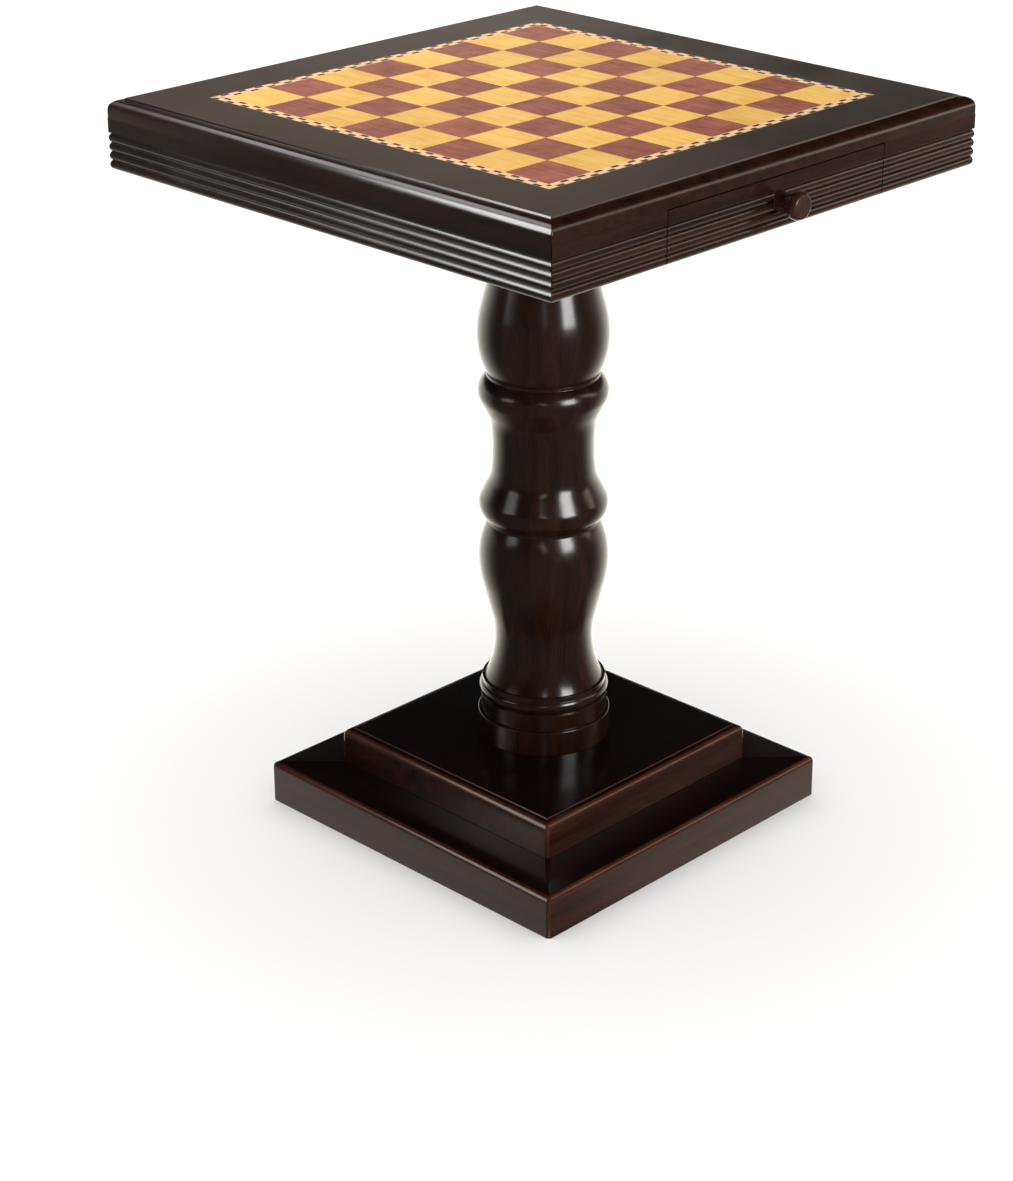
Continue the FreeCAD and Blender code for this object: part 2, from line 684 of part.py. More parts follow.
def baseScrewSpots():
    """Where the rails are screwed to the block, two spots on each rail."""
    spots = []
    for side in (-1, 1):
        for along in (-1, 1):
            spots.append((f"{side} * {railScrewLine}", f"{along} * {railScrewHalf}"))
            spots.append((f"{along} * {railScrewHalf}", f"{side} * {railScrewLine}"))
    return spots


def baseRails():
    for quarter, side in enumerate(("front", "right", "back", "left")):
        body = newBody()
        sketch = newSketch(body, "YZ_Plane")
        corners = [("0", "0"), ("Sizes.railWidth", "0"), ("Sizes.railWidth", "Sizes.slabHeight"),
                   ("Sizes.slabRound", "Sizes.slabHeight"),
                   ("0", "Sizes.slabHeight - Sizes.slabRound")]
        outline(sketch, corners, arcs={3: ("Sizes.slabRound", 1)})
        pad(body, sketch, "Sizes.slabWidth", symmetric=True)
        mitre(body, "Sizes.slabWidth", "Sizes.railWidth", (-1, 1))
        line = f"Sizes.slabWidth / 2 - {railScrewLine}"
        spots = [(f"{along} * {railScrewHalf}", line) for along in (-1, 1)]
        holes(body, "Sizes.boltRadius + Sizes.screwClear", spots)
        holes(body, "Sizes.boltHeadRadius + Sizes.screwClear", spots,
              depth="Sizes.boltSink + Sizes.boltHeadHeight", upwards=True)
        keep(body, f"base_rail_{side}")
        angle = math.radians(90 * quarter)
        outX = round(math.sin(angle))
        outY = -round(math.cos(angle))
        place(body, f"{outX} * Sizes.slabWidth / 2", f"{outY} * Sizes.slabWidth / 2", 0,
              turned(90 * quarter))


def baseCore():
    inside = "Sizes.slabWidth - 2 * Sizes.railWidth"
    body = plainBoard("base_core", inside, inside, "Sizes.coreThick")
    holes(body, "Sizes.boreRadius", [("0", "0")])
    place(body, z="Sizes.slabHeight - Sizes.coreThick")


# ---- steel: tie rod, nuts, washer, plate and screws ----

def ring(outer, inner, height):
    """Part::Cut of a cylinder by a smaller one."""
    body = doc.addObject("Part::Cylinder", "Outside")
    body.setExpression("Radius", outer)
    body.setExpression("Height", height)
    return bored(body, inner, height)


def bored(body, radius, height):
    bore = doc.addObject("Part::Cylinder", "Bore")
    bore.setExpression("Radius", radius)
    bore.setExpression("Height", height)
    cut = doc.addObject("Part::Cut", "Ring")
    cut.Base = body
    cut.Tool = bore
    return cut


def hexNut(height):
    prism = doc.addObject("Part::Prism", "Hexagon")
    prism.Polygon = 6
    prism.setExpression("Circumradius", "Sizes.nutWidth / sqrt(3)")
    prism.setExpression("Height", height)
    return bored(prism, "Sizes.rodRadius + Sizes.screwClear", height)


def tieRod():
    washerBase = "(Sizes.slabHeight - Sizes.coreThick - Sizes.washerThick)"
    lowNut = f"({washerBase} - Sizes.nutHeight)"
    highNut = f"({boardTop} + Sizes.plateThick)"
    rod = doc.addObject("Part::Cylinder", "Rod")
    rod.setExpression("Radius", "Sizes.rodRadius")
    rod.setExpression("Height", f"{highNut} + Sizes.nutHeight + 2 * Sizes.rodProud - {lowNut}")
    place(keep(rod, "tie_rod"), z=f"{lowNut} - Sizes.rodProud")
    washer = ring("Sizes.washerRadius", "Sizes.boreRadius", "Sizes.washerThick")
    place(keep(washer, "rod_washer"), z=washerBase)
    nuts = []
    for base in (lowNut, highNut):
        nut = hexNut("Sizes.nutHeight")
        place(nut, z=base)
        nuts.append(nut)
    group("rod_nuts", nuts)
    plate = plainBoard("top_plate", "Sizes.plateLength", "Sizes.plateWidth", "Sizes.plateThick")
    holes(plate, "Sizes.boreRadius", [("0", "0")])
    holes(plate, "Sizes.screwRadius + Sizes.screwClear", plateScrewSpots())
    holes(plate, "Sizes.screwHeadRadius + Sizes.screwClear", plateScrewSpots(),
          offset="Sizes.plateThick", depth="Sizes.screwHeadHeight")
    place(plate, z=boardTop)


def at(x, y, z):
    """Point in the table's frame from three expressions."""
    return Vector(measure(x), measure(y), measure(z))


def screws():
    down = Rotation(Vector(1, 0, 0), 180)
    guide = [woodScrew("Sizes.guideScrewLength", at(x, y, columnTop))
             for x, y in guideScrewSpots()]
    group("guide_screws", guide)
    plate = [woodScrew("Sizes.plateScrewLength", at(x, y, f"{boardTop} + Sizes.plateThick"), down)
             for x, y in plateScrewSpots()]
    group("plate_screws", plate)
    inset = f"({faceBack} - Sizes.cornerLeg / 3)"
    corner = [woodScrew("Sizes.cornerScrewLength",
                        at(f"{sideX} * {inset}", f"{sideY} * {inset}",
                           f"{panelBase} - Sizes.cornerHeight"))
              for sideX in (-1, 1) for sideY in (-1, 1)]
    group("corner_screws", corner)
    stop = [woodScrew("Sizes.stopScrewLength",
                      at("0", f"{sideY} * {stopCentre}", f"{panelBase} - Sizes.stopThick"))
            for sideY in (-1, 1)]
    group("stop_screws", stop)
    head = ("Sizes.boltRadius", "Sizes.boltHeadRadius", "Sizes.boltHeadHeight")
    base = [countersunkScrew(*head, "Sizes.boltLength", at(x, y, "Sizes.boltSink"), Rotation())
            for x, y in baseScrewSpots()]
    group("base_screws", base)


# ---- drawers ----

def drawerFace(label):
    """Reeded face along local x, outer face at y = 0, lower edge at z = 0."""
    body = newBody()
    sketch = newSketch(body, "YZ_Plane")
    reededProfile(sketch, "Sizes.apronHeight - Sizes.drawerTopGap")
    pad(body, sketch, "Sizes.drawerWidth", symmetric=True)
    groove = newSketch(body, "YZ_Plane")
    low = f"{boxBase} + Sizes.floorLift - {apronBase}"
    rectangle(groove, "Sizes.apronThick - Sizes.grooveDepth", "Sizes.apronThick", low,
              f"{low} + Sizes.floorThick + 2 * Sizes.grooveClear")
    pocket(body, groove, f"{floorWidth} + 2 * Sizes.grooveClear", symmetric=True)
    height = f"Sizes.knobHeight - {apronBase}"
    shank = newSketch(body, "XZ_Plane")
    circle(shank, "Sizes.screwRadius + Sizes.screwClear", "0", height)
    pocket(body, shank)
    head = newSketch(body, "XZ_Plane", "-Sizes.apronThick")
    circle(head, "Sizes.screwHeadRadius + Sizes.screwClear", "0", height)
    pocket(body, head, "Sizes.screwHeadHeight", upwards=True)
    return keep(body, label)


def drawerSide(label):
    """Side along local y with the bottom panel's groove in its +x face."""
    body = plainBoard(label, "Sizes.boxThick", "Sizes.boxLength", "Sizes.boxHeight")
    groove = newSketch(body, "XZ_Plane")
    rectangle(groove, "Sizes.boxThick / 2 - Sizes.grooveDepth", "Sizes.boxThick / 2",
              "Sizes.floorLift", "Sizes.floorLift + Sizes.floorThick + 2 * Sizes.grooveClear")
    pocket(body, groove)
    return body


def knob(label):
    """Turned knob standing on z = 0, with a blind hole for its screw."""
    body = newBody()
    sketch = newSketch(body, "XZ_Plane")
    bore = "Sizes.screwRadius + Sizes.screwClear"
    corners = [
        (bore, "0"),
        ("Sizes.knobFoot", "0"),
        ("Sizes.knobHeadFoot", "Sizes.knobHeadStart"),
        ("Sizes.knobFrontEdge", "Sizes.knobLength - Sizes.knobBevel"),
        ("Sizes.knobFlat", "Sizes.knobLength"),
        ("0", "Sizes.knobLength"),
        ("0", "Sizes.knobBore"),
        (bore, "Sizes.knobBore"),
    ]
    outline(sketch, corners, {1: ("Sizes.knobNeckArc", -1), 2: ("Sizes.knobRimArc", 1)})
    revolve(body, sketch)
    return keep(body, label)


def drawer(prefix, angle):
    """One whole drawer; at angle 0 it opens towards -Y, at 180 towards +Y."""
    way = 1 if angle == 0 else -1
    turn = turned(angle)
    outwards = turn * Rotation(Vector(1, 0, 0), 90)
    place(drawerFace(f"{prefix}_face"), 0, f"{-way} * Sizes.topWidth / 2", apronBase, turn)
    sideY = f"{-way} * ({faceBack} - Sizes.boxLength / 2)"
    for hand, sideX in (("left", -1), ("right", 1)):
        place(drawerSide(f"{prefix}_side_{hand}"),
              f"{sideX} * (Sizes.boxWidth - Sizes.boxThick) / 2", sideY, boxBase,
              turned(0 if sideX < 0 else 180))
    floorBase = f"({boxBase} + Sizes.floorLift + Sizes.grooveClear)"
    floorTop = f"({floorBase} + Sizes.floorThick + Sizes.grooveClear)"
    back = plainBoard(f"{prefix}_rear", "Sizes.boxWidth - 2 * Sizes.boxThick", "Sizes.boxThick",
                      f"{boxBase} + Sizes.boxHeight - {floorTop}")
    place(back, 0, f"{-way} * ({faceBack} - Sizes.boxLength + Sizes.boxThick / 2)", floorTop)
    reach = "(Sizes.grooveDepth - Sizes.grooveClear)"
    floor = plainBoard(f"{prefix}_floor", floorWidth, f"Sizes.boxLength + {reach}",
                       "Sizes.floorThick")
    place(floor, 0, f"{-way} * ({faceBack} + {reach} / 2 - Sizes.boxLength / 2)", floorBase)
    place(knob(f"{prefix}_knob"), 0, f"{-way} * Sizes.topWidth / 2", "Sizes.knobHeight",
          outwards)
    spot = at("0", f"{-way} * {faceBack}", "Sizes.knobHeight")
    keep(woodScrew("Sizes.knobScrewLength", spot, outwards), f"{prefix}_knob_screw")


# ---- the table ----

topPanel()
chessSquares("dark_squares", 0)
chessSquares("light_squares", 1)
banding()
aprons()
closingBoard()
drawerGuides()
drawerStops()
cornerBlocks()
column()
baseBlock()
baseRails()
baseCore()
tieRod()
screws()
drawer("front_drawer", 0)
drawer("back_drawer", 180)
doc.recompute()

faults = [f"{item.Label}: {item.State}" for item in doc.Objects
          if "Invalid" in item.State or "Error" in item.State]
faults += [f"{piece.Label}: bad shape" for piece in subparts
           if piece.Shape.isNull() or not piece.Shape.isValid() or not piece.Shape.Solids]
if faults:
    raise SystemExit("\n".join(faults))

os.makedirs("parts", exist_ok=True)
for piece in subparts:
    piece.Shape.exportStep(f"parts/{piece.Label}.step")
    print(piece.Label, len(piece.Shape.Solids), round(piece.Shape.Volume / 1000, 2), "cm3")
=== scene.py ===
import json
import math

import bmesh
import bpy
from mathutils import Matrix, Vector

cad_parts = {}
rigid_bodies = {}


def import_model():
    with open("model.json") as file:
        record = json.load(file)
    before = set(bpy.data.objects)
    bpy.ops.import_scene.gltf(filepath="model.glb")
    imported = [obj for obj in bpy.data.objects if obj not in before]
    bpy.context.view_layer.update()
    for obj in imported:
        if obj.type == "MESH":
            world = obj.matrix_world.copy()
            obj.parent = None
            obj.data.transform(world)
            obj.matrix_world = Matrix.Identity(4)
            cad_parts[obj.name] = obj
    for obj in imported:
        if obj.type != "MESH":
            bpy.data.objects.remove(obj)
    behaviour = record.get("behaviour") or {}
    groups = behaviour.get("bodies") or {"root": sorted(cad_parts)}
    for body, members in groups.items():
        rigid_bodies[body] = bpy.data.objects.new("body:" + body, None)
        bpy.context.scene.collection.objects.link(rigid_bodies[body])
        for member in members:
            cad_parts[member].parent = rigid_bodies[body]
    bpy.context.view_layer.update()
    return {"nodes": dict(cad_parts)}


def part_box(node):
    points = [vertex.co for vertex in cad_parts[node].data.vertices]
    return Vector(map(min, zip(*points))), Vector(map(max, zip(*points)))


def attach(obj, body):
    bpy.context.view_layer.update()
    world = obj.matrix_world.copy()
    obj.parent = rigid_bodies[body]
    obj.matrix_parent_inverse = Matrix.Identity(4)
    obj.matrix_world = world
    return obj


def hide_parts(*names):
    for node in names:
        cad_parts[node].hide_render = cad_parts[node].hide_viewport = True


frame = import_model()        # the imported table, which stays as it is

scene = bpy.context.scene
nodes = frame["nodes"]
mm = 0.001
tiny = 0.01 * mm                # closer than this is the same height
crease = math.radians(28)       # edges sharper than this are sanded or stay crisp
scene.view_settings.view_transform = "Standard"


def linear(hexColour):
    parts = [int(hexColour[i:i + 2], 16) / 255 for i in (1, 3, 5)]
    return [p / 12.92 if p <= 0.04045 else ((p + 0.055) / 1.055) ** 2.4 for p in parts] + [1]


def put(tree, kind, settings=None, links=None):    # one node, its settings and what feeds it
    node = tree.nodes.new("ShaderNode" + kind)
    for name, value in (settings or {}).items():
        if name == "stops":
            ramp = node.color_ramp
            while len(ramp.elements) < len(value):
                ramp.elements.new(1)
            for element, (place, colour) in zip(ramp.elements, value):
                element.position = place
                element.color = linear(colour) if isinstance(colour, str) else [colour] * 3 + [1]
        elif isinstance(name, int) or name in node.inputs:
            node.inputs[name].default_value = value
        else:
            setattr(node, name, value)
    for name, socket in (links or {}).items():
        tree.links.new(socket, node.inputs[name])
    return node


def newMaterial(name):
    material = bpy.data.materials.new(name)
    material.use_nodes = True
    tree = material.node_tree
    tree.nodes.clear()
    return material, tree


def finishMaterial(tree, shader):
    put(tree, "OutputMaterial", None, {"Surface": shader.outputs["BSDF"]})


espresso = {
    # the near-black colour for flat tops is painted shade, standing in for the shadow under the table top
    "deep": "#140906", "brown": "#2c160f", "rub": "#5e3424", "paintedTopShade": "#0a0504",
    "ior": 1.45, "roughLow": 0.16, "roughHigh": 0.24, "dull": 0.18,
    "figureWidth": 14 * mm, "figureLength": 220 * mm,      # slow light and dark of the stain
    "smudge": 125 * mm, "rubPatch": 62.5 * mm,             # uneven polish, and uneven wear on the edges
    "poreWidth": 0.9 * mm, "poreLength": 16 * mm,          # real pores are 0.2 mm, drawn wider to show
    "poreDepth": 0.012 * mm, "orangePeel": 9 * mm, "peelDepth": 0.010 * mm,
    "flatFace": 0.995, "roundEdge": 0.86,                  # largest part of the normal on a face, on an edge
    "nearlyLevel": 0.96, "level": 0.999, "topShadeStrength": 0.85,  # upward part of the normal where flat tops are dulled and darkened with painted shade
}


def grainScale(along, width, length):              # scale of a pattern drawn out along one axis
    return [1 / (length if axis == along else width) for axis in "XYZ"]


def espressoLacquer(along, look, name="espressoLacquer"):
    # Gloss nitrocellulose lacquer sprayed over espresso stain on hardwood: a nearly black brown with a red
    # undertone, wet-looking reflections, and edges rubbed back to red-brown; on the base, flat tops also get
    # painted shade
    material, tree = newMaterial(name + along)
    spot = put(tree, "TexCoord").outputs["Object"]
    drawn = put(tree, "Mapping", {"Scale": grainScale(along, look["figureWidth"], look["figureLength"])},
                {"Vector": spot})
    figure = put(tree, "TexNoise", {"Scale": 1, "Detail": 5, "Roughness": 0.6, "Distortion": 0.6},
                 {"Vector": drawn.outputs[0]})
    stain = put(tree, "ValToRGB", {"stops": [(0.32, look["deep"]), (0.72, look["brown"])]},
                {"Fac": figure.outputs["Fac"]})
    fine = put(tree, "Mapping", {"Scale": grainScale(along, look["poreWidth"], look["poreLength"])},
               {"Vector": spot})
    pores = put(tree, "TexNoise", {"Scale": 1, "Detail": 3, "Roughness": 0.55}, {"Vector": fine.outputs[0]})
    poreDark = put(tree, "ValToRGB", {"stops": [(0.36, 0.55), (0.5, 1.0)]}, {"Fac": pores.outputs["Fac"]})
    colour = put(tree, "Mix", {"data_type": "RGBA", "blend_type": "MULTIPLY", 0: 1.0},
                 {6: stain.outputs["Color"], 7: poreDark.outputs["Color"]}).outputs[2]
    smudge = put(tree, "TexNoise", {"Scale": 1 / look["smudge"], "Detail": 6, "Roughness": 0.65},
                 {"Vector": spot})
    rough = put(tree, "MapRange", {"From Min": 0.3, "From Max": 0.7, "To Min": look["roughLow"],
                                   "To Max": look["roughHigh"]}, {"Value": smudge.outputs["Fac"]}).outputs[0]
    rubAndShadeAmount = look.get("rubAndShadeAmount")
    if rubAndShadeAmount:                                    # rounded edges lose colour to wear, flat tops lose gloss and are darkened with painted shade
        face = put(tree, "SeparateXYZ", None, {0: put(tree, "NewGeometry").outputs["Normal"]})
        flat = None
        for axis in "XYZ":
            size = put(tree, "Math", {"operation": "ABSOLUTE"}, {0: face.outputs[axis]})
            flat = size if flat is None else put(tree, "Math", {"operation": "MAXIMUM"},
                                                 {0: flat.outputs[0], 1: size.outputs[0]})
        edge = put(tree, "MapRange", {"From Min": look["flatFace"], "From Max": look["roundEdge"]},
                   {"Value": flat.outputs[0]})
        patchy = put(tree, "TexNoise", {"Scale": 1 / look["rubPatch"], "Detail": 5, "Roughness": 0.7},
                     {"Vector": spot})
        lot = put(tree, "MapRange", {"From Min": 0.32, "From Max": 0.62, "To Min": rubAndShadeAmount * 0.3,
                                     "To Max": rubAndShadeAmount}, {"Value": patchy.outputs["Fac"]})
        mask = put(tree, "Math", {"operation": "MULTIPLY"}, {0: edge.outputs[0], 1: lot.outputs[0]})
        colour = put(tree, "Mix", {"data_type": "RGBA", 7: linear(look["rub"])},
                     {0: mask.outputs[0], 6: colour}).outputs[2]
        upward = {"From Min": look["nearlyLevel"], "From Max": look["level"]}
        dulled = put(tree, "MapRange", dict(upward, **{"To Max": look["dull"]}), {"Value": face.outputs["Z"]})
        rough = put(tree, "Math", {"operation": "MAXIMUM"}, {0: rough, 1: dulled.outputs[0]}).outputs[0]
        # painted shade: upward faces are mixed towards near black in place of the shadow that the table top
        # casts
        paintedTopShade = put(tree, "MapRange", dict(upward, **{"To Max": look["topShadeStrength"]}),
                     {"Value": face.outputs["Z"]})
        colour = put(tree, "Mix", {"data_type": "RGBA", 7: linear(look["paintedTopShade"])},
                     {0: paintedTopShade.outputs[0], 6: colour}).outputs[2]
    peel = put(tree, "TexNoise", {"Scale": 1 / look["orangePeel"], "Detail": 1}, {"Vector": spot})
    skin = put(tree, "Bump", {"Strength": 1, "Distance": look["peelDepth"]}, {"Height": peel.outputs["Fac"]})
    sunk = put(tree, "Bump", {"Strength": 0.5, "Distance": look["poreDepth"]},
               {"Height": poreDark.outputs["Color"], "Normal": skin.outputs[0]})
    shader = put(tree, "BsdfPrincipled", {"IOR": look["ior"]},
                 {"Base Color": colour, "Roughness": rough, "Normal": sunk.outputs[0]})
    finishMaterial(tree, shader)
    return material


lacquerX = espressoLacquer("X", espresso)
lacquerY = espressoLacquer("Y", espresso)
lacquerZ = espressoLacquer("Z", dict(espresso, deep="#150b08", brown="#29170f"))
baseWearAndShade = dict(espresso, brown="#3a1c14", rubAndShadeAmount=0.65)            # the base, where feet and brooms rub it, with painted shade on its flat tops
lacquerBaseX = espressoLacquer("X", baseWearAndShade, "rubbedLacquerPaintedShade")
lacquerBaseY = espressoLacquer("Y", baseWearAndShade, "rubbedLacquerPaintedShade")
thin = dict(espresso, deep="#1f100c", brown="#41231c", figureWidth=4 * mm, figureLength=30 * mm, ior=1.4,
            roughLow=0.26, roughHigh=0.34)
lacquerKnob = espressoLacquer("Y", thin, "thinLacquer")         # end grain of a turned knob takes less stain
print("lacquers made")


veneers = {
    "maple_veneer": {
        "name": "mapleVeneer", "pale": "#ffd377", "mid": "#fcc45f", "dark": "#e6a548",
        "width": 2.2 * mm, "length": 60 * mm, "spread": 0.10, "node": "light_squares",
        # Maple dyed honey yellow under clear lacquer: warm and even, with faint cloudy figure
    },
    "rosewood_veneer": {
        "name": "rosewoodVeneer", "pale": "#b4684f", "mid": "#9a4d3a", "dark": "#6f3022",
        "width": 1.1 * mm, "length": 45 * mm, "spread": 0.16, "node": "dark_squares",
        # Rosewood-coloured veneer: red-brown with close dark streaks all running one way
    },
}
boardLook = {                                       # both veneers and the banding lie under one lacquer
    "square": 50 * mm, "roughness": 0.22, "ior": 1.45, "cloud": 20 * mm,
}


def veneerMaterial(look):
    material, tree = newMaterial(look["name"])
    spot = put(tree, "TexCoord").outputs["Object"]
    cell = put(tree, "VectorMath", {"operation": "SNAP", 1: (boardLook["square"],) * 3}, {0: spot})
    pick = put(tree, "TexWhiteNoise", {"noise_dimensions": "2D"}, {"Vector": cell.outputs[0]})
    moved = put(tree, "VectorMath", {"operation": "MULTIPLY_ADD", 1: (0.8, 0.8, 0)},
                {0: pick.outputs["Color"], 2: spot})          # each square is cut from elsewhere in the leaf
    drawn = put(tree, "Mapping", {"Scale": grainScale("Y", look["width"], look["length"])},
                {"Vector": moved.outputs[0]})
    grain = put(tree, "TexNoise", {"Scale": 1, "Detail": 6, "Roughness": 0.6, "Distortion": 0.35},
                {"Vector": drawn.outputs[0]})
    cloud = put(tree, "TexNoise", {"Scale": 1 / boardLook["cloud"], "Detail": 3},
                {"Vector": moved.outputs[0]})
    mix = put(tree, "Mix", {0: 0.32}, {2: grain.outputs["Fac"], 3: cloud.outputs["Fac"]})
    stops = [(0.32, look["dark"]), (0.5, look["mid"]), (0.66, look["pale"])]
    colour = put(tree, "ValToRGB", {"stops": stops}, {"Fac": mix.outputs[0]})
    tone = put(tree, "MapRange", {"To Min": 1 - look["spread"], "To Max": 1 + look["spread"] / 3},
               {"Value": pick.outputs["Value"]})
    shade = put(tree, "HueSaturation", None, {"Color": colour.outputs["Color"], "Value": tone.outputs[0]})
    shader = put(tree, "BsdfPrincipled", {"IOR": boardLook["ior"], "Roughness": boardLook["roughness"]},
                 {"Base Color": shade.outputs["Color"]})
    finishMaterial(tree, shader)
    return material


for look in veneers.values():
    nodes[look["node"]].material_slots[0].material = veneerMaterial(look)

bandLook = {
    "name": "dyedStringing", "cell": 10 * mm, "inner": 200 * mm, "width": 11 * mm, "fleck": 4 * mm,
    "light": "#f9cc9c", "dark": "#33200f", "line": 0.8 * mm, "lineColour": "#a87248",
    "endLine": 0.07, "rowLine": 0.15,                      # glue lines, as parts of a block
}


def bandingMaterial(look):
    # Marquetry band of dyed stringing: two rows of light and dark blocks that alternate, crisp and small
    material, tree = newMaterial(look["name"])
    spot = put(tree, "TexCoord").outputs["Object"]
    axes = put(tree, "SeparateXYZ", None, {0: spot})
    across = {a: put(tree, "Math", {"operation": "ABSOLUTE"}, {0: axes.outputs[a]}).outputs[0] for a in "XY"}
    onSide = put(tree, "Math", {"operation": "GREATER_THAN"}, {0: across["X"], 1: across["Y"]})
    out = put(tree, "Math", {"operation": "MAXIMUM"}, {0: across["X"], 1: across["Y"]})
    rowEdge = look["inner"] + look["width"] / 2
    row = put(tree, "Math", {"operation": "GREATER_THAN", 1: rowEdge}, {0: out.outputs[0]})
    along = put(tree, "Mix", None, {0: onSide.outputs[0], 2: axes.outputs["X"], 3: axes.outputs["Y"]})
    step = put(tree, "Math", {"operation": "MULTIPLY_ADD", 1: 1 / look["cell"]},
               {0: along.outputs[0], 2: row.outputs[0]})
    count = put(tree, "Math", {"operation": "FLOOR"}, {0: step.outputs[0]})
    odd = put(tree, "Math", {"operation": "FLOORED_MODULO", 1: 2}, {0: count.outputs[0]})
    rise = put(tree, "MapRange", {"clamp": False, "From Min": look["inner"], "From Max": rowEdge},
               {"Value": out.outputs[0]})
    for place, line in ((step, look["endLine"]), (rise, look["rowLine"])):     # pale glue lines round a block
        middle = put(tree, "Math", {"operation": "PINGPONG", 1: 0.5}, {0: place.outputs[0]})
        inside = put(tree, "Math", {"operation": "GREATER_THAN", 1: line}, {0: middle.outputs[0]})
        odd = put(tree, "Math", {"operation": "MULTIPLY"}, {0: odd.outputs[0], 1: inside.outputs[0]})
    noise = put(tree, "TexNoise", {"Scale": 1 / look["fleck"], "Detail": 4}, {"Vector": spot})
    tone = put(tree, "MapRange", {"To Min": 0.75, "To Max": 1.25}, {"Value": noise.outputs["Fac"]})
    block = put(tree, "Mix", {"data_type": "RGBA", 6: linear(look["light"]), 7: linear(look["dark"])},
                {0: odd.outputs[0]})
    border = put(tree, "Math", {"operation": "GREATER_THAN", 1: look["inner"] + look["width"] - look["line"]},
                 {0: out.outputs[0]})
    edged = put(tree, "Mix", {"data_type": "RGBA", 7: linear(look["lineColour"])},
                {0: border.outputs[0], 6: block.outputs[2]})
    shade = put(tree, "HueSaturation", None, {"Color": edged.outputs[2], "Value": tone.outputs[0]})
    shader = put(tree, "BsdfPrincipled", {"IOR": boardLook["ior"], "Roughness": boardLook["roughness"]},
                 {"Base Color": shade.outputs["Color"]})
    finishMaterial(tree, shader)
    return material


nodes["banding_strips"].material_slots[0].material = bandingMaterial(bandLook)
print("veneers made")


innerWoods = {                                      # grain is the width and length of its figure
    "sandedPoplar": {"pale": "#d8bd8e", "dark": "#b8935f", "grain": (5 * mm, 120 * mm), "rough": 0.6},
    # Poplar, planed and sanded under a thin sealer: pale, dry-looking, with soft long figure
    "stainedPlywood": {"pale": "#2a1a12", "dark": "#1a0f0a", "grain": (9 * mm, 200 * mm), "rough": 0.6},
    # Plywood stained dark and sealed matt: nearly black, with no shine from below
    "birchPlywood": {"pale": "#e2cda3", "dark": "#c9aa78", "grain": (9 * mm, 200 * mm), "rough": 0.55},
    # Birch plywood, sanded and sealed: creamy, with the broad figure of a peeled veneer
}
grainBump = {"strength": 0.4, "depth": 0.1 * mm}


def innerWood(name, along):
    look = innerWoods[name]
    material, tree = newMaterial(name + along)
    spot = put(tree, "TexCoord").outputs["Object"]
    drawn = put(tree, "Mapping", {"Scale": grainScale(along, *look["grain"])}, {"Vector": spot})
    grain = put(tree, "TexNoise", {"Scale": 1, "Detail": 6, "Roughness": 0.6, "Distortion": 0.8},
                {"Vector": drawn.outputs[0]})
    colour = put(tree, "ValToRGB", {"stops": [(0.35, look["dark"]), (0.62, look["pale"])]},
                 {"Fac": grain.outputs["Fac"]})
    bump = put(tree, "Bump", {"Strength": grainBump["strength"], "Distance": grainBump["depth"]},
               {"Height": grain.outputs["Fac"]})
    shader = put(tree, "BsdfPrincipled", {"IOR": 1.5, "Roughness": look["rough"]},
                 {"Base Color": colour.outputs["Color"], "Normal": bump.outputs[0]})
    finishMaterial(tree, shader)
    return material


plainX = innerWood("sandedPoplar", "X")
plainY = innerWood("sandedPoplar", "Y")
darkPly = innerWood("stainedPlywood", "X")
plyX = innerWood("birchPlywood", "X")

zinc = {"spangle": 5 * mm, "dark": "#9ea1a3", "pale": "#c9cbcc", "roughLow": 0.22, "roughHigh": 0.45}


def zincSteel():
    # Bright zinc plate over drawn steel: cool grey with a soft, slightly streaky shine
    material, tree = newMaterial("zincPlatedSteel")
    spot = put(tree, "TexCoord").outputs["Object"]
    cloud = put(tree, "TexNoise", {"Scale": 1 / zinc["spangle"], "Detail": 5}, {"Vector": spot})
    colour = put(tree, "ValToRGB", {"stops": [(0.3, zinc["dark"]), (0.7, zinc["pale"])]},
                 {"Fac": cloud.outputs["Fac"]})
    rough = put(tree, "MapRange", {"To Min": zinc["roughLow"], "To Max": zinc["roughHigh"]},
                {"Value": cloud.outputs["Fac"]})
    shader = put(tree, "BsdfPrincipled", {"Metallic": 1}, {"Base Color": colour.outputs["Color"],
                                                            "Roughness": rough.outputs[0]})
    finishMaterial(tree, shader)
    return material


steel = zincSteel()
carried = {
    plainX: ["divider_front", "divider_back", "stop_front", "stop_back", "corner_blocks",
             "front_drawer_rear", "back_drawer_rear"],
    plainY: ["guide_left", "guide_right", "front_drawer_side_left", "front_drawer_side_right",
             "back_drawer_side_left", "back_drawer_side_right"],
    plyX: ["base_core", "front_drawer_floor", "back_drawer_floor"],
    darkPly: ["bottom_board"],
    steel: ["tie_rod", "rod_washer", "rod_nuts", "top_plate", "guide_screws", "plate_screws", "corner_screws",
            "stop_screws", "base_screws", "front_drawer_knob_screw", "back_drawer_knob_screw"],
}
for material, names in carried.items():
    for name in names:
        nodes[name].material_slots[0].material = material
print("inner woods and steel made")


def newPiece(name, mesh, material, slot, body, *replaced):
    mesh.materials.append(material)
    piece = bpy.data.objects.new(name, mesh)
    scene.collection.objects.link(piece)
    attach(piece, body)
    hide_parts(*replaced)
    return piece


def easeEdges(piece, width, turned=False):          # the sanded arris that the lacquer flows over
    ease = piece.modifiers.new("ease", "BEVEL")
    ease.limit_method = "ANGLE" if turned else "WEIGHT"
    ease.angle_limit = crease
    ease.width = width
    ease.segments = 2
    ease.harden_normals = True


def arc(centre, radius, start, end, steps=14):      # degrees, from +radius axis towards +height
    turns = [math.radians(start + (end - start) * i / steps) for i in range(steps + 1)]
    return [(centre[0] + radius * math.cos(t), centre[1] + radius * math.sin(t)) for t in turns]


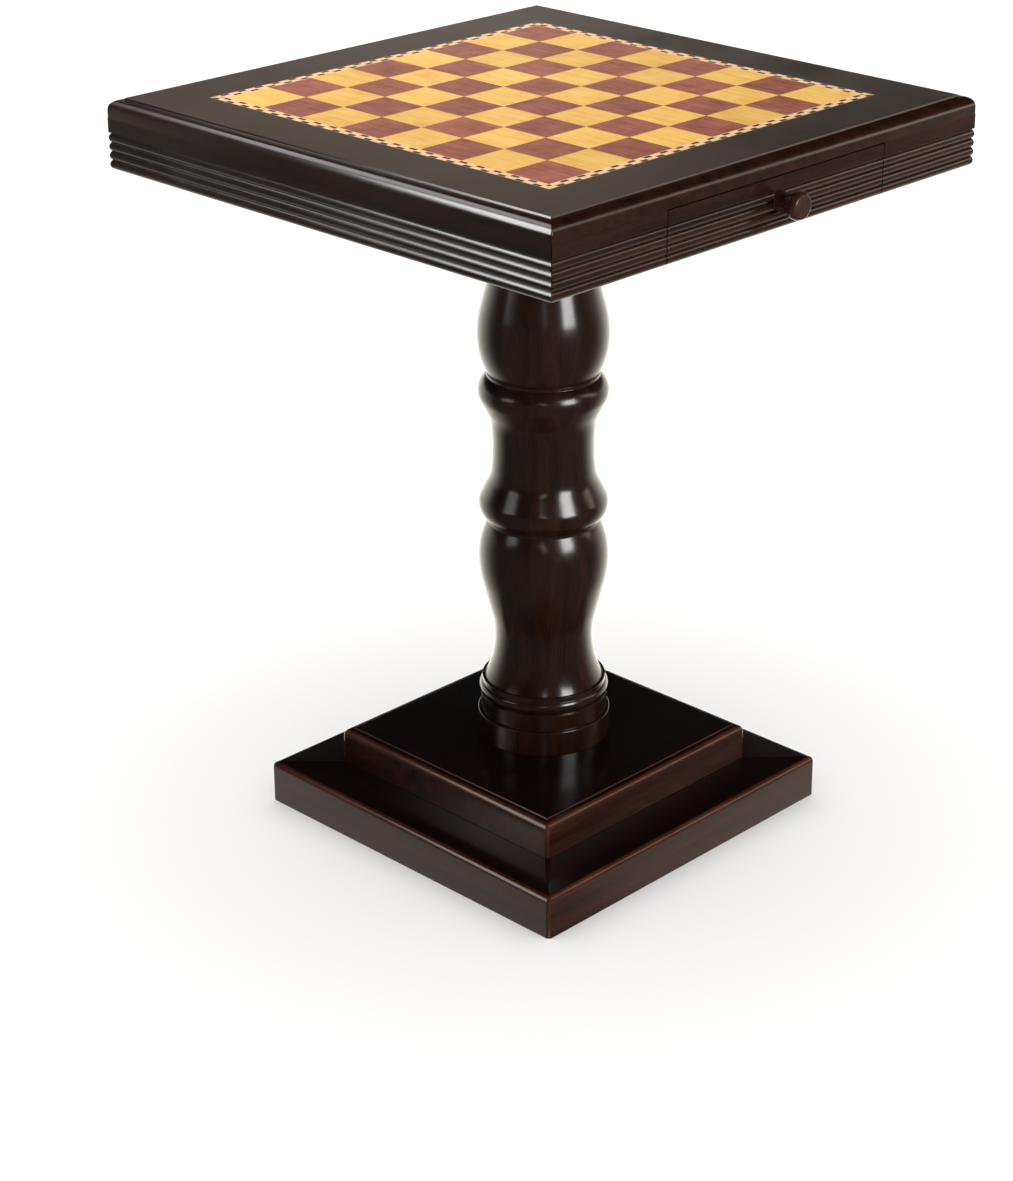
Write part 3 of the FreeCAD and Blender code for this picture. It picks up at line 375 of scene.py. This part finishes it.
def meshFrom(name, points, faces, edges=(), seams=()):
    mesh = bpy.data.meshes.new(name)
    mesh.from_pydata(points, edges, faces)
    if faces:
        work = bmesh.new()
        work.from_mesh(mesh)
        bmesh.ops.remove_doubles(work, verts=work.verts, dist=tiny / 10)
        bmesh.ops.recalc_face_normals(work, faces=work.faces)
        outer = work.edges.layers.float.new("bevel_weight_edge")
        for edge in work.edges:                     # only outward edges are sanded
            butted = any(all(abs(vert.co.z - seam) < tiny for vert in edge.verts) for seam in seams)
            turn = edge.calc_face_angle_signed(0)
            edge[outer] = float(turn > crease and not butted)
            edge.smooth = edge[outer] > 0 or abs(turn) < crease
        for face in work.faces:
            face.smooth = True
        work.to_mesh(mesh)
        work.free()
    return mesh


cornerRings = 6                                     # points round half a rounded corner


def corner(depth, radius):                          # (along, depth) from a straight face to the mitre line
    if depth >= radius:
        return [(-depth, depth)] * cornerRings
    turns = [math.radians(45 * i / (cornerRings - 1)) for i in range(cornerRings)]
    reach = radius - depth
    return [(-radius + reach * math.sin(t), radius - reach * math.cos(t)) for t in turns]


def railMesh(name, section, outward, half, ends, base, radius=0.0, gap=0.0, seams=()):
    # section is (depth, height) round the rail; an end is "mitre" or the place where it is cut square
    along = Vector((-outward[1], outward[0], 0))
    out = Vector((*outward, 0))
    loops = []
    for side, end in zip((-1, 1), ends):
        stations = []
        for depth, height in section:
            if end == "mitre":
                spots = [(side * (half + place - gap), inset) for place, inset in corner(depth, radius)]
            else:
                spots = [(end, depth)] * cornerRings
            stations.append([out * (half - inset) + along * place + Vector((0, 0, base + height))
                             for place, inset in spots])
        rings = [[station[i] for station in stations] for i in range(cornerRings)]
        loops += reversed(rings) if side < 0 else rings
    count = len(section)
    points = [point for ring in loops for point in ring]
    faces = [(start + i, start + (i + 1) % count, start + count + (i + 1) % count, start + count + i)
             for start in range(0, count * (len(loops) - 1), count) for i in range(count)]
    faces += [tuple(range(count)), tuple(range(len(points) - count, len(points)))]
    return meshFrom(name, points, faces, seams=seams)


def squareMesh(name, section, half, radius, seams=(), hollow=False):
    # section is (inset, z), from the middle of the top to the middle of the underside, or round a hollow
    points = []
    for inset, z in section:
        for quarter in range(4):
            eighth = [Vector((half + place, inset - half)) for place, inset in corner(inset, radius)]
            both = eighth + [Vector((-p.y, -p.x)) for p in reversed(eighth)]
            points += [Matrix.Rotation(math.radians(90 * quarter), 3, "Z") @ Vector((*p, z)) for p in both]
    ring = len(points) // len(section)
    total = len(points)
    faces = []
    for start in range(0, total if hollow else total - ring, ring):
        below = (start + ring) % total
        faces += [(start + j, start + (j + 1) % ring, below + (j + 1) % ring, below + j) for j in range(ring)]
    if not hollow:
        faces += [tuple(range(ring)), tuple(range(total - ring, total))]
    return meshFrom(name, points, faces, seams=seams)


# Top panel: the flat field and, as a second mesh, the stepped and rounded edge round it
top = {"round": 10 * mm, "step": 1.5 * mm, "stepLean": 0.6 * mm, "corner": 1.6 * mm, "ease": 0.3 * mm}
panelLow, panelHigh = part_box("top_panel")
bandLow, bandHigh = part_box("banding_strips")
topHalf = panelHigh.x
lip = top["round"] + top["step"]
recess = topHalf - bandHigh.x
lipEdge = lip + top["stepLean"]
flatSection = [(recess, bandLow.z), (recess, panelHigh.z), (lipEdge, panelHigh.z), (lipEdge, panelLow.z)]
edgeSection = [(lipEdge, panelHigh.z), (lip, panelHigh.z - top["step"])]
edgeSection += [(top["round"] - r, z) for r, z in arc((0, panelHigh.z - lip), top["round"], 90, 0, 10)]
edgeSection += [(0, panelLow.z), (lipEdge, panelLow.z)]
glued = (panelLow.z, panelHigh.z)                   # where panel, edge and aprons meet flush
newPiece("lacqueredTop", squareMesh("lacqueredTop", flatSection, topHalf, top["corner"], glued), lacquerY,
         "espresso_lacquer", "table", "top_panel")
edgeMesh = squareMesh("roundedTopEdge", edgeSection, topHalf, top["corner"], glued, True)
topEdge = newPiece("roundedTopEdge", edgeMesh, lacquerY, "espresso_lacquer", "table", "top_panel")
easeEdges(topEdge, top["ease"])
print("top panel made")


# Aprons and drawer faces: a plain band over four reeds
reeding = {"count": 4, "pitch": 8.2 * mm, "depth": 1.8 * mm, "bevel": 1 * mm, "ease": 0.25 * mm,
           "mitreGap": 0.35 * mm}
apronLow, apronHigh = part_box("apron_left")
apronThick = apronHigh.x - apronLow.x


def reededSection(height):
    count, pitch, depth = reeding["count"], reeding["pitch"], reeding["depth"]
    radius = (pitch ** 2 / 4 + depth ** 2) / (2 * depth)
    spread = math.degrees(math.asin(pitch / 2 / radius))
    section = [(apronThick, 0), (apronThick, height), (0, height), (0, count * pitch + reeding["bevel"])]
    for reed in reversed(range(count)):
        middle = (radius, (reed + 0.5) * pitch)
        bulge = [(2 * middle[0] - r, z) for r, z in arc(middle, radius, spread, -spread, 10)]
        section += bulge if reed == count - 1 else bulge[1:]
    return section


apronSection = reededSection(apronHigh.z - apronLow.z)
faceLow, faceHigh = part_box("front_drawer_face")
openingHalf = -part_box("apron_front_left")[1].x
for name, outward, ends in (
        ("apron_left", (-1, 0), ("mitre", "mitre")),
        ("apron_right", (1, 0), ("mitre", "mitre")),
        ("apron_front_left", (0, -1), ("mitre", -openingHalf)),
        ("apron_front_right", (0, -1), (openingHalf, "mitre")),
        ("apron_back_right", (0, 1), ("mitre", -openingHalf)),
        ("apron_back_left", (0, 1), (openingHalf, "mitre"))):
    label = name.replace("apron", "reeded")
    mesh = railMesh(label, apronSection, outward, topHalf, ends, apronLow.z, gap=reeding["mitreGap"],
                    seams=(apronHigh.z,))
    rail = newPiece(label, mesh, lacquerX if outward[0] == 0 else lacquerY, "espresso_lacquer", "table", name)
    easeEdges(rail, reeding["ease"])


def applyStack(piece):                                     # the finished mesh takes the place of the stack
    bpy.context.view_layer.update()
    solid = bpy.data.meshes.new_from_object(piece.evaluated_get(bpy.context.evaluated_depsgraph_get()))
    piece.modifiers.clear()
    piece.data = solid
    return solid


def sinkHead(piece, mouth, inward, hole):                  # room for the knob screw's head behind the face
    plug = bpy.data.meshes.new("plug")
    work = bmesh.new()
    bmesh.ops.create_cone(work, cap_ends=True, segments=40, radius1=hole["radius"], radius2=hole["radius"],
                          depth=2 * hole["depth"])
    work.to_mesh(plug)
    work.free()
    plug.transform(Matrix.Translation(mouth) @ Vector(inward).to_track_quat("Z", "X").to_matrix().to_4x4())
    helper = bpy.data.objects.new("plug", plug)
    scene.collection.objects.link(helper)
    cut = piece.modifiers.new("headRoom", "BOOLEAN")
    cut.object = helper
    applyStack(piece)
    bpy.data.objects.remove(helper)


headHole = {"radius": 4.2 * mm, "depth": 2.8 * mm}
faceSection = reededSection(faceHigh.z - faceLow.z)
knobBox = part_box("front_drawer_knob")
knobHeight = (knobBox[0].z + knobBox[1].z) / 2
for side, outward in (("front", (0, -1)), ("back", (0, 1))):
    label = f"reeded_{side}_drawer_face"
    mesh = railMesh(label, faceSection, outward, topHalf, (faceLow.x, faceHigh.x), faceLow.z)
    face = newPiece(label, mesh, lacquerX, "espresso_lacquer", f"{side}_drawer", f"{side}_drawer_face")
    easeEdges(face, reeding["ease"])
    back = Vector((0, outward[1] * (topHalf - apronThick), knobHeight))
    sinkHead(face, back, (0, outward[1], 0), headHole)
print("aprons and drawer faces made")


# Column: two end sections, one of them upside down, and a middle one that is the same both ways up
turning = {
    "steps": 144, "ease": 0.35 * mm,
    "foot": (61.2 * mm, 16.5 * mm),                        # radius, top
    "bead": (62.5 * mm, 8 * mm, 17.5 * mm, 29.5 * mm),     # radius, arc, lowest, highest
    "shoulder": 34.5 * mm,
    "neck": (47.2 * mm, 77 * mm, 97 * mm),                 # radius, place, arc
    "bulb": (62.2 * mm, 161.5 * mm, 110 * mm, 76 * mm),    # radius, place, arc below, arc above
    "length": 197.5 * mm,
    "cove": (48.2 * mm, 220 * mm, 22 * mm, 36 * mm),       # radius, arc, half its height, arc beyond it
    "ring": (61.6 * mm, 56.5 * mm, 19 * mm),               # radius, place, arc
    "pinch": 53.5 * mm, "middleHalf": 75 * mm,
}


def spin(name, section, material, slot, body, *replaced):
    mesh = meshFrom(name, [(r, 0, z) for r, z in section], [], [(i, i + 1) for i in range(len(section) - 1)])
    piece = newPiece(name, mesh, material, slot, body, *replaced)
    screw = piece.modifiers.new("turn", "SCREW")
    screw.steps = screw.render_steps = turning["steps"]
    screw.use_merge_vertices = True
    screw.merge_threshold = 0.005 * mm
    screw.use_smooth_shade = True
    return piece


def tangent(convex, convexRadius, hollow, hollowRadius):   # angle where a round runs straight into a hollow
    apart = Vector(hollow) - Vector(convex)
    lean = math.acos((convexRadius + hollowRadius) / apart.length)
    return math.degrees(math.atan2(apart.y, apart.x) + lean)


def angleAt(centre, radius, z, leftward=False):            # where an arc reaches a height
    turn = math.degrees(math.asin((z - centre[1]) / radius))
    return 180 - turn if leftward else turn


def endSection():                                          # from the bulb's top down to the foot
    bulbR, bulbZ, lowArc, topArc = turning["bulb"]
    neckR, neckZ, neckArc = turning["neck"]
    beadR, beadArc, beadLow, beadTop = turning["bead"]
    footR, footTop = turning["foot"]
    upper, lower = (bulbR - topArc, bulbZ), (bulbR - lowArc, bulbZ)
    neck = (neckR + neckArc, neckZ)
    beadMid = (beadR - beadArc, (beadLow + beadTop) / 2)
    slope = tangent(lower, lowArc, neck, neckArc)
    beadTurn = angleAt(beadMid, beadArc, beadTop)
    section = [(0, turning["length"])]
    section += arc(upper, topArc, angleAt(upper, topArc, turning["length"]), 0)
    section += arc(lower, lowArc, 0, slope)[1:]
    section += arc(neck, neckArc, 180 + slope, angleAt(neck, neckArc, turning["shoulder"], True), 20)
    edge = beadMid[0] + beadArc * math.cos(math.radians(beadTurn))
    section += [(edge, turning["shoulder"])]
    section += arc(beadMid, beadArc, beadTurn, -beadTurn)
    section += [(edge, footTop), (footR, footTop), (footR, 0), (0, 0)]
    return section


def middleSection():                                       # half of it, from the ring's top to the middle
    coveR, coveArc, coveHalf, endArc = turning["cove"]
    ringR, ringZ, ringArc = turning["ring"]
    cove = (coveR + coveArc, 0)
    leave = angleAt(cove, coveArc, coveHalf, True)
    reach = coveArc - endArc
    end = (cove[0] + reach * math.cos(math.radians(leave)), reach * math.sin(math.radians(leave)))
    ring = (ringR - ringArc, ringZ)
    slope = tangent(ring, ringArc, end, endArc)
    quirk = math.degrees(math.acos((turning["pinch"] - ring[0]) / ringArc))
    half = [(0, turning["middleHalf"]), (turning["pinch"], turning["middleHalf"])]
    half += arc(ring, ringArc, quirk, slope)
    half += arc(end, endArc, 180 + slope, leave, 8)
    half += arc(cove, coveArc, leave, 180, 6)[1:]
    return half + [(r, -z) for r, z in reversed(half[:-1])]


discLow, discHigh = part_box("column_disc")
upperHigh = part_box("bottom_board")[0].z
lowerFoot = discHigh.z
middleMid = lowerFoot + turning["length"] + turning["middleHalf"]
foot = endSection()
columnSections = {
    "lower": [(r, z + lowerFoot) for r, z in foot],
    "middle": [(r, z + middleMid) for r, z in middleSection()],
    "upper": [(r, upperHigh - z) for r, z in reversed(foot)],
}
for part, section in columnSections.items():
    turned = spin(f"turned_{part}", section, lacquerZ, "espresso_lacquer", "table", f"column_{part}")
    easeEdges(turned, turning["ease"], True)

disc = {"radius": discHigh.x, "edge": 1.2 * mm}
discEdge = (disc["radius"] - disc["edge"], discHigh.z - disc["edge"])
discSection = [(0, discHigh.z)] + arc(discEdge, disc["edge"], 90, 0, 5)
discSection += [(disc["radius"], discLow.z), (0, discLow.z)]
turned = spin("turned_disc", discSection, lacquerZ, "espresso_lacquer", "table", "column_disc")
easeEdges(turned, turning["ease"], True)
print("column made")


# Base: a stepped block on a slab of four mitred rails
base = {"blockRound": 7 * mm, "blockStep": 1.2 * mm, "stepLean": 0.5 * mm, "slabRound": 6 * mm,
        "railWidth": 70 * mm, "ease": 0.4 * mm, "corner": 4 * mm, "mitreGap": 0.12 * mm}
blockLow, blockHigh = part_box("base_block")
blockLip = base["blockRound"] + base["blockStep"]
blockSection = [(blockLip + base["stepLean"], blockHigh.z), (blockLip, blockHigh.z - base["blockStep"])]
blockSection += [(base["blockRound"] - r, z) for r, z in
                 arc((0, blockHigh.z - blockLip), base["blockRound"], 90, 0, 8)]
blockSection += [(0, blockLow.z)]
blockMesh = squareMesh("baseBlock", blockSection, blockHigh.x, base["corner"])
block = newPiece("baseBlock", blockMesh, lacquerBaseX, "espresso_lacquer", "table", "base_block")
easeEdges(block, base["ease"])

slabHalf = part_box("base_rail_right")[1].x
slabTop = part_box("base_rail_right")[1].z
slabRound = base["slabRound"]
slabSection = [(0, 0), (base["railWidth"], 0), (base["railWidth"], slabTop)]
slabSection += [(slabRound - r, z) for r, z in arc((0, slabTop - slabRound), slabRound, 90, 0, 8)]
for side, outward in (("front", (0, -1)), ("right", (1, 0)), ("back", (0, 1)), ("left", (-1, 0))):
    mesh = railMesh(f"mitred_rail_{side}", slabSection, outward, slabHalf, ("mitre", "mitre"), 0,
                    base["corner"], base["mitreGap"])
    rail = newPiece(f"mitred_rail_{side}", mesh, lacquerBaseX if outward[0] == 0 else lacquerBaseY,
                    "espresso_lacquer", "table", f"base_rail_{side}")
    easeEdges(rail, base["ease"])
print("base made")


# Knobs, turned at the origin and then set in the drawer faces
knob = {"foot": 9.5 * mm, "neckArc": 16 * mm, "headStart": 15.5 * mm, "headFoot": 11 * mm, "rimArc": 8 * mm,
        "frontEdge": 10.8 * mm, "flat": 10 * mm, "bevel": 0.5 * mm, "length": 25.4 * mm, "ease": 0.3 * mm}


def arcThrough(start, end, radius, side, steps=10):        # bulges to the right of start-end when side is 1
    a, b = Vector(start), Vector(end)
    chord = b - a
    across = Vector((chord.y, -chord.x)).normalized() * side
    centre = (a + b) / 2 - across * math.sqrt(radius ** 2 - chord.length_squared / 4)
    first = math.degrees(math.atan2(*reversed(a - centre)))
    last = math.degrees(math.atan2(*reversed(b - centre)))
    if last - first > 180:
        last -= 360
    if first - last > 180:
        last += 360
    return arc(centre, radius, first, last, steps)


edgeZ = knob["length"] - knob["bevel"]
knobSection = [(0, knob["length"]), (knob["flat"], knob["length"])]
underHead = (knob["headFoot"], knob["headStart"])
knobSection += arcThrough((knob["frontEdge"], edgeZ), underHead, knob["rimArc"], -1)
knobSection += arcThrough(underHead, (knob["foot"], 0), knob["neckArc"], 1)[1:]
knobSection += [(0, 0)]
for side, way in (("front", 1), ("back", -1)):
    piece = spin(f"turned_{side}_knob", knobSection, lacquerKnob, "espresso_lacquer", f"{side}_drawer",
                 f"{side}_drawer_knob")
    easeEdges(piece, knob["ease"], True)
    knobLow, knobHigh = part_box(f"{side}_drawer_knob")
    seat = Vector((0, -way * topHalf, (knobLow.z + knobHigh.z) / 2))
    turned = applyStack(piece)
    turned.transform(Matrix.Translation(seat) @ Matrix.Rotation(math.radians(90 * way), 4, "X"))
print("knobs made")


# Floor, room light, lamps and camera
stage = {
    "floorSize": 16.0, "floorColour": "#f6f5f3", "seen": 1.0,
    "roomLight": 0.30,                      # upward part of the room, as the table sees it
    "floorBehind": 2.2, "floorBefore": 0.13,   # what the lacquer mirrors below the horizon
    "behind": (0.69, 0.72, 0.0), "creamRoom": "#fffaec",
    "turnsBright": (0.05, 0.85), "horizon": (0.02, 0.22), "ceiling": 0.01,     # where the room changes
    "floorSun": 3.3, "aimHeight": 0.42, "caseDepth": 60 * mm,
}
floorMesh = bpy.data.meshes.new("floor")
far = stage["floorSize"] / 2
floorCorners = [(-far, -far, 0), (far, -far, 0), (far, far, 0), (-far, far, 0)]
floorMesh.from_pydata(floorCorners, [], [(0, 1, 2, 3)])
floor = bpy.data.objects.new("floor", floorMesh)
scene.collection.objects.link(floor)
paper, paperTree = newMaterial("matPaper")           # seamless backdrop paper: white, with no shine
finishMaterial(paperTree, put(paperTree, "BsdfPrincipled", {
    "Base Color": linear(stage["floorColour"]), "Roughness": 0.95, "Specular IOR Level": 0.0}))
floorMesh.materials.append(paper)
floor.visible_glossy = False                # the lacquer mirrors the room below instead

world = bpy.data.worlds.new("studio")
scene.world = world
world.use_nodes = True
skyTree = world.node_tree
skyTree.nodes.clear()
ray = put(skyTree, "LightPath")
way = put(skyTree, "TexCoord").outputs["Generated"]
axes = put(skyTree, "SeparateXYZ", None, {0: way})
facing = put(skyTree, "VectorMath", {"operation": "DOT_PRODUCT", 1: stage["behind"]}, {0: way})
below = put(skyTree, "MapRange", {"interpolation_type": "SMOOTHSTEP", "From Min": stage["turnsBright"][0],
                                  "From Max": stage["turnsBright"][1], "To Min": stage["floorBefore"],
                                  "To Max": stage["floorBehind"]},
            {"Value": facing.outputs["Value"]})
above = put(skyTree, "MapRange", {"interpolation_type": "SMOOTHSTEP", "From Min": stage["horizon"][0],
                                  "From Max": stage["horizon"][1]},
            {"Value": axes.outputs["Z"]})
mirrored = put(skyTree, "Mix", {3: stage["ceiling"]}, {0: above.outputs[0], 2: below.outputs[0]})
lit = put(skyTree, "Mix", {2: stage["roomLight"]}, {0: ray.outputs["Is Glossy Ray"], 3: mirrored.outputs[0]})
strength = put(skyTree, "Mix", {3: stage["seen"]}, {0: ray.outputs["Is Camera Ray"], 2: lit.outputs[0]})
tint = put(skyTree, "Mix", {"data_type": "RGBA", 6: (1, 1, 1, 1), 7: linear(stage["creamRoom"])},
           {0: ray.outputs["Is Glossy Ray"]})
sky = put(skyTree, "Background", None, {"Color": tint.outputs[2], "Strength": strength.outputs[0]})
put(skyTree, "OutputWorld", None, {"Surface": sky.outputs[0]})

keyBox = {"direction": -90, "distance": 1.9, "height": 1.05, "size": (0.75, 0.8), "power": 34, "on": "middle"}
lamps = {       # degrees from +X seen from above, metres and watts; "on" is the group that a lamp lights
    "keyBox": keyBox,
    "flatKey": dict(keyBox, on="flat", mirrored=False),
    "leftBox": {"direction": 160, "distance": 1.9, "height": 0.95, "size": (0.4, 0.7), "power": 2.5,
                "on": "below"},
    "edgeBox": {"direction": 153, "distance": 1.75, "height": 1.20, "size": (1.1, 0.45), "power": 34,
                "on": "edges", "tints": False},
    "footBox": {"direction": 150, "distance": 1.75, "height": 0.62, "size": (1.8, 0.3), "power": 12,
                "on": "base", "tints": False, "colour": (1, 0.86, 0.76)},
    "edgeHaze": {"direction": 120, "distance": 1.9, "height": 2.35, "size": (1.2, 0.8), "power": 18,
                 "on": "edges", "tints": False},
    "frontStrip": {"direction": -136, "distance": 2.2, "height": 1.15, "size": (0.10, 0.5), "power": 1.4,
                   "on": "below"},
    "baseBox": {"direction": -90, "distance": 1.9, "height": 0.8, "size": (0.9, 0.6), "power": 22,
                "on": "base", "mirrored": False},
    "rightFill": {"direction": -46, "distance": 2.4, "height": 1.25, "size": (1.6, 0.5), "power": 6.5,
                  "on": "sides", "colour": (1, 0.84, 0.72)},
    "backBox": {"direction": 100, "distance": 2.2, "height": 2.3, "size": (1.4, 0.8), "power": 96,
                "on": "top", "mirrored": False},
    "backPanel": {"direction": 60, "distance": 4.0, "height": 2.7, "size": (3.6, 1.5), "power": 4.3,
                  "on": "top", "colour": (1, 0.82, 0.70)},
    "floorLeft": {"direction": 137, "distance": 1.9, "height": -0.75, "size": (1.6, 0.8), "power": 3.1,
                  "on": "slab", "colour": (1, 0.90, 0.86)},
    "floorRight": {"direction": -43, "distance": 1.9, "height": -0.75, "size": (1.6, 0.8), "power": 2.4,
                   "on": "slab", "colour": (1, 0.90, 0.82)},
}


def lightGroup(name, keep):                                # the objects that a lamp is allowed to light
    group = bpy.data.collections.new(name)
    for member in scene.objects:
        if member.type == "MESH" and member != floor and keep(member):
            group.objects.link(member)
    return group


def lowest(member):
    return min(point[2] for point in member.bound_box)


def isTop(member):                                         # the table top with its aprons and drawers
    return lowest(member) > panelLow.z - stage["caseDepth"]


def isFlat(member):                                        # the playing surface and the border round it
    return lowest(member) > panelLow.z - mm and member != topEdge


def isBase(member):
    return max(point[2] for point in member.bound_box) < blockHigh.z + mm


groups = {
    "top": lightGroup("litTop", isTop),
    "edges": lightGroup("litEdges", lambda member: isTop(member) and not isFlat(member)),
    "flat": lightGroup("litFlat", isFlat),
    "below": lightGroup("litBelow", lambda member: not isTop(member)),
    "base": lightGroup("litBase", isBase),
    "slab": lightGroup("litSlab", lambda member: member.name.startswith("mitred_rail")),
    "middle": lightGroup("litMiddle", lambda member: not isBase(member) and not isFlat(member)),
    "sides": lightGroup("litSides", lambda member: not isFlat(member)),
}
aimPoint = Vector((0, 0, stage["aimHeight"]))
for name, lamp in lamps.items():
    light = bpy.data.lights.new(name, "AREA")
    light.shape = "RECTANGLE"
    light.size, light.size_y = lamp["size"]
    light.energy = lamp["power"]
    light.color = lamp.get("colour", (1, 1, 1))
    lampObject = bpy.data.objects.new(name, light)
    turn = math.radians(lamp["direction"])
    away = lamp["distance"]
    lampObject.location = (away * math.cos(turn), away * math.sin(turn), lamp["height"])
    lampObject.rotation_euler = (aimPoint - lampObject.location).to_track_quat("-Z", "Z").to_euler()
    lampObject.visible_camera = False
    lampObject.visible_glossy = lamp.get("mirrored", True)
    lampObject.visible_diffuse = lamp.get("tints", True)
    lampObject.light_linking.receiver_collection = groups[lamp["on"]]
    if lamp["height"] < 0:                                 # light off the floor isn't shaded by the floor
        lampObject.light_linking.blocker_collection = groups["sides"]
    scene.collection.objects.link(lampObject)
soft = bpy.data.lights.new("floorLight", "SUN")          # even light for the floor alone
soft.energy = stage["floorSun"]
soft.angle = math.radians(90)
softObject = bpy.data.objects.new("floorLight", soft)
onlyFloor = bpy.data.collections.new("onlyTheFloor")
onlyFloor.objects.link(floor)
softObject.light_linking.receiver_collection = onlyFloor
scene.collection.objects.link(softObject)

view = {"place": (-1.7341, -1.6781, 1.3252), "heading": 46.423, "dip": 22.324, "roll": 0.11,
        "lens": 83.83, "shift": (-0.0495, -0.0893)}
camera = bpy.data.cameras.new("viewer")
camera.lens = view["lens"]
camera.shift_x, camera.shift_y = view["shift"]
cameraObject = bpy.data.objects.new("viewer", camera)
cameraObject.location = view["place"]
heading = Matrix.Rotation(math.radians(-view["heading"]), 4, "Z")
tilt = Matrix.Rotation(math.radians(90 - view["dip"]), 4, "X")
roll = Matrix.Rotation(math.radians(view["roll"]), 4, "Z")
cameraObject.rotation_euler = (heading @ tilt @ roll).to_euler()
scene.collection.objects.link(cameraObject)
scene.camera = cameraObject
print("stage, lights and camera set")
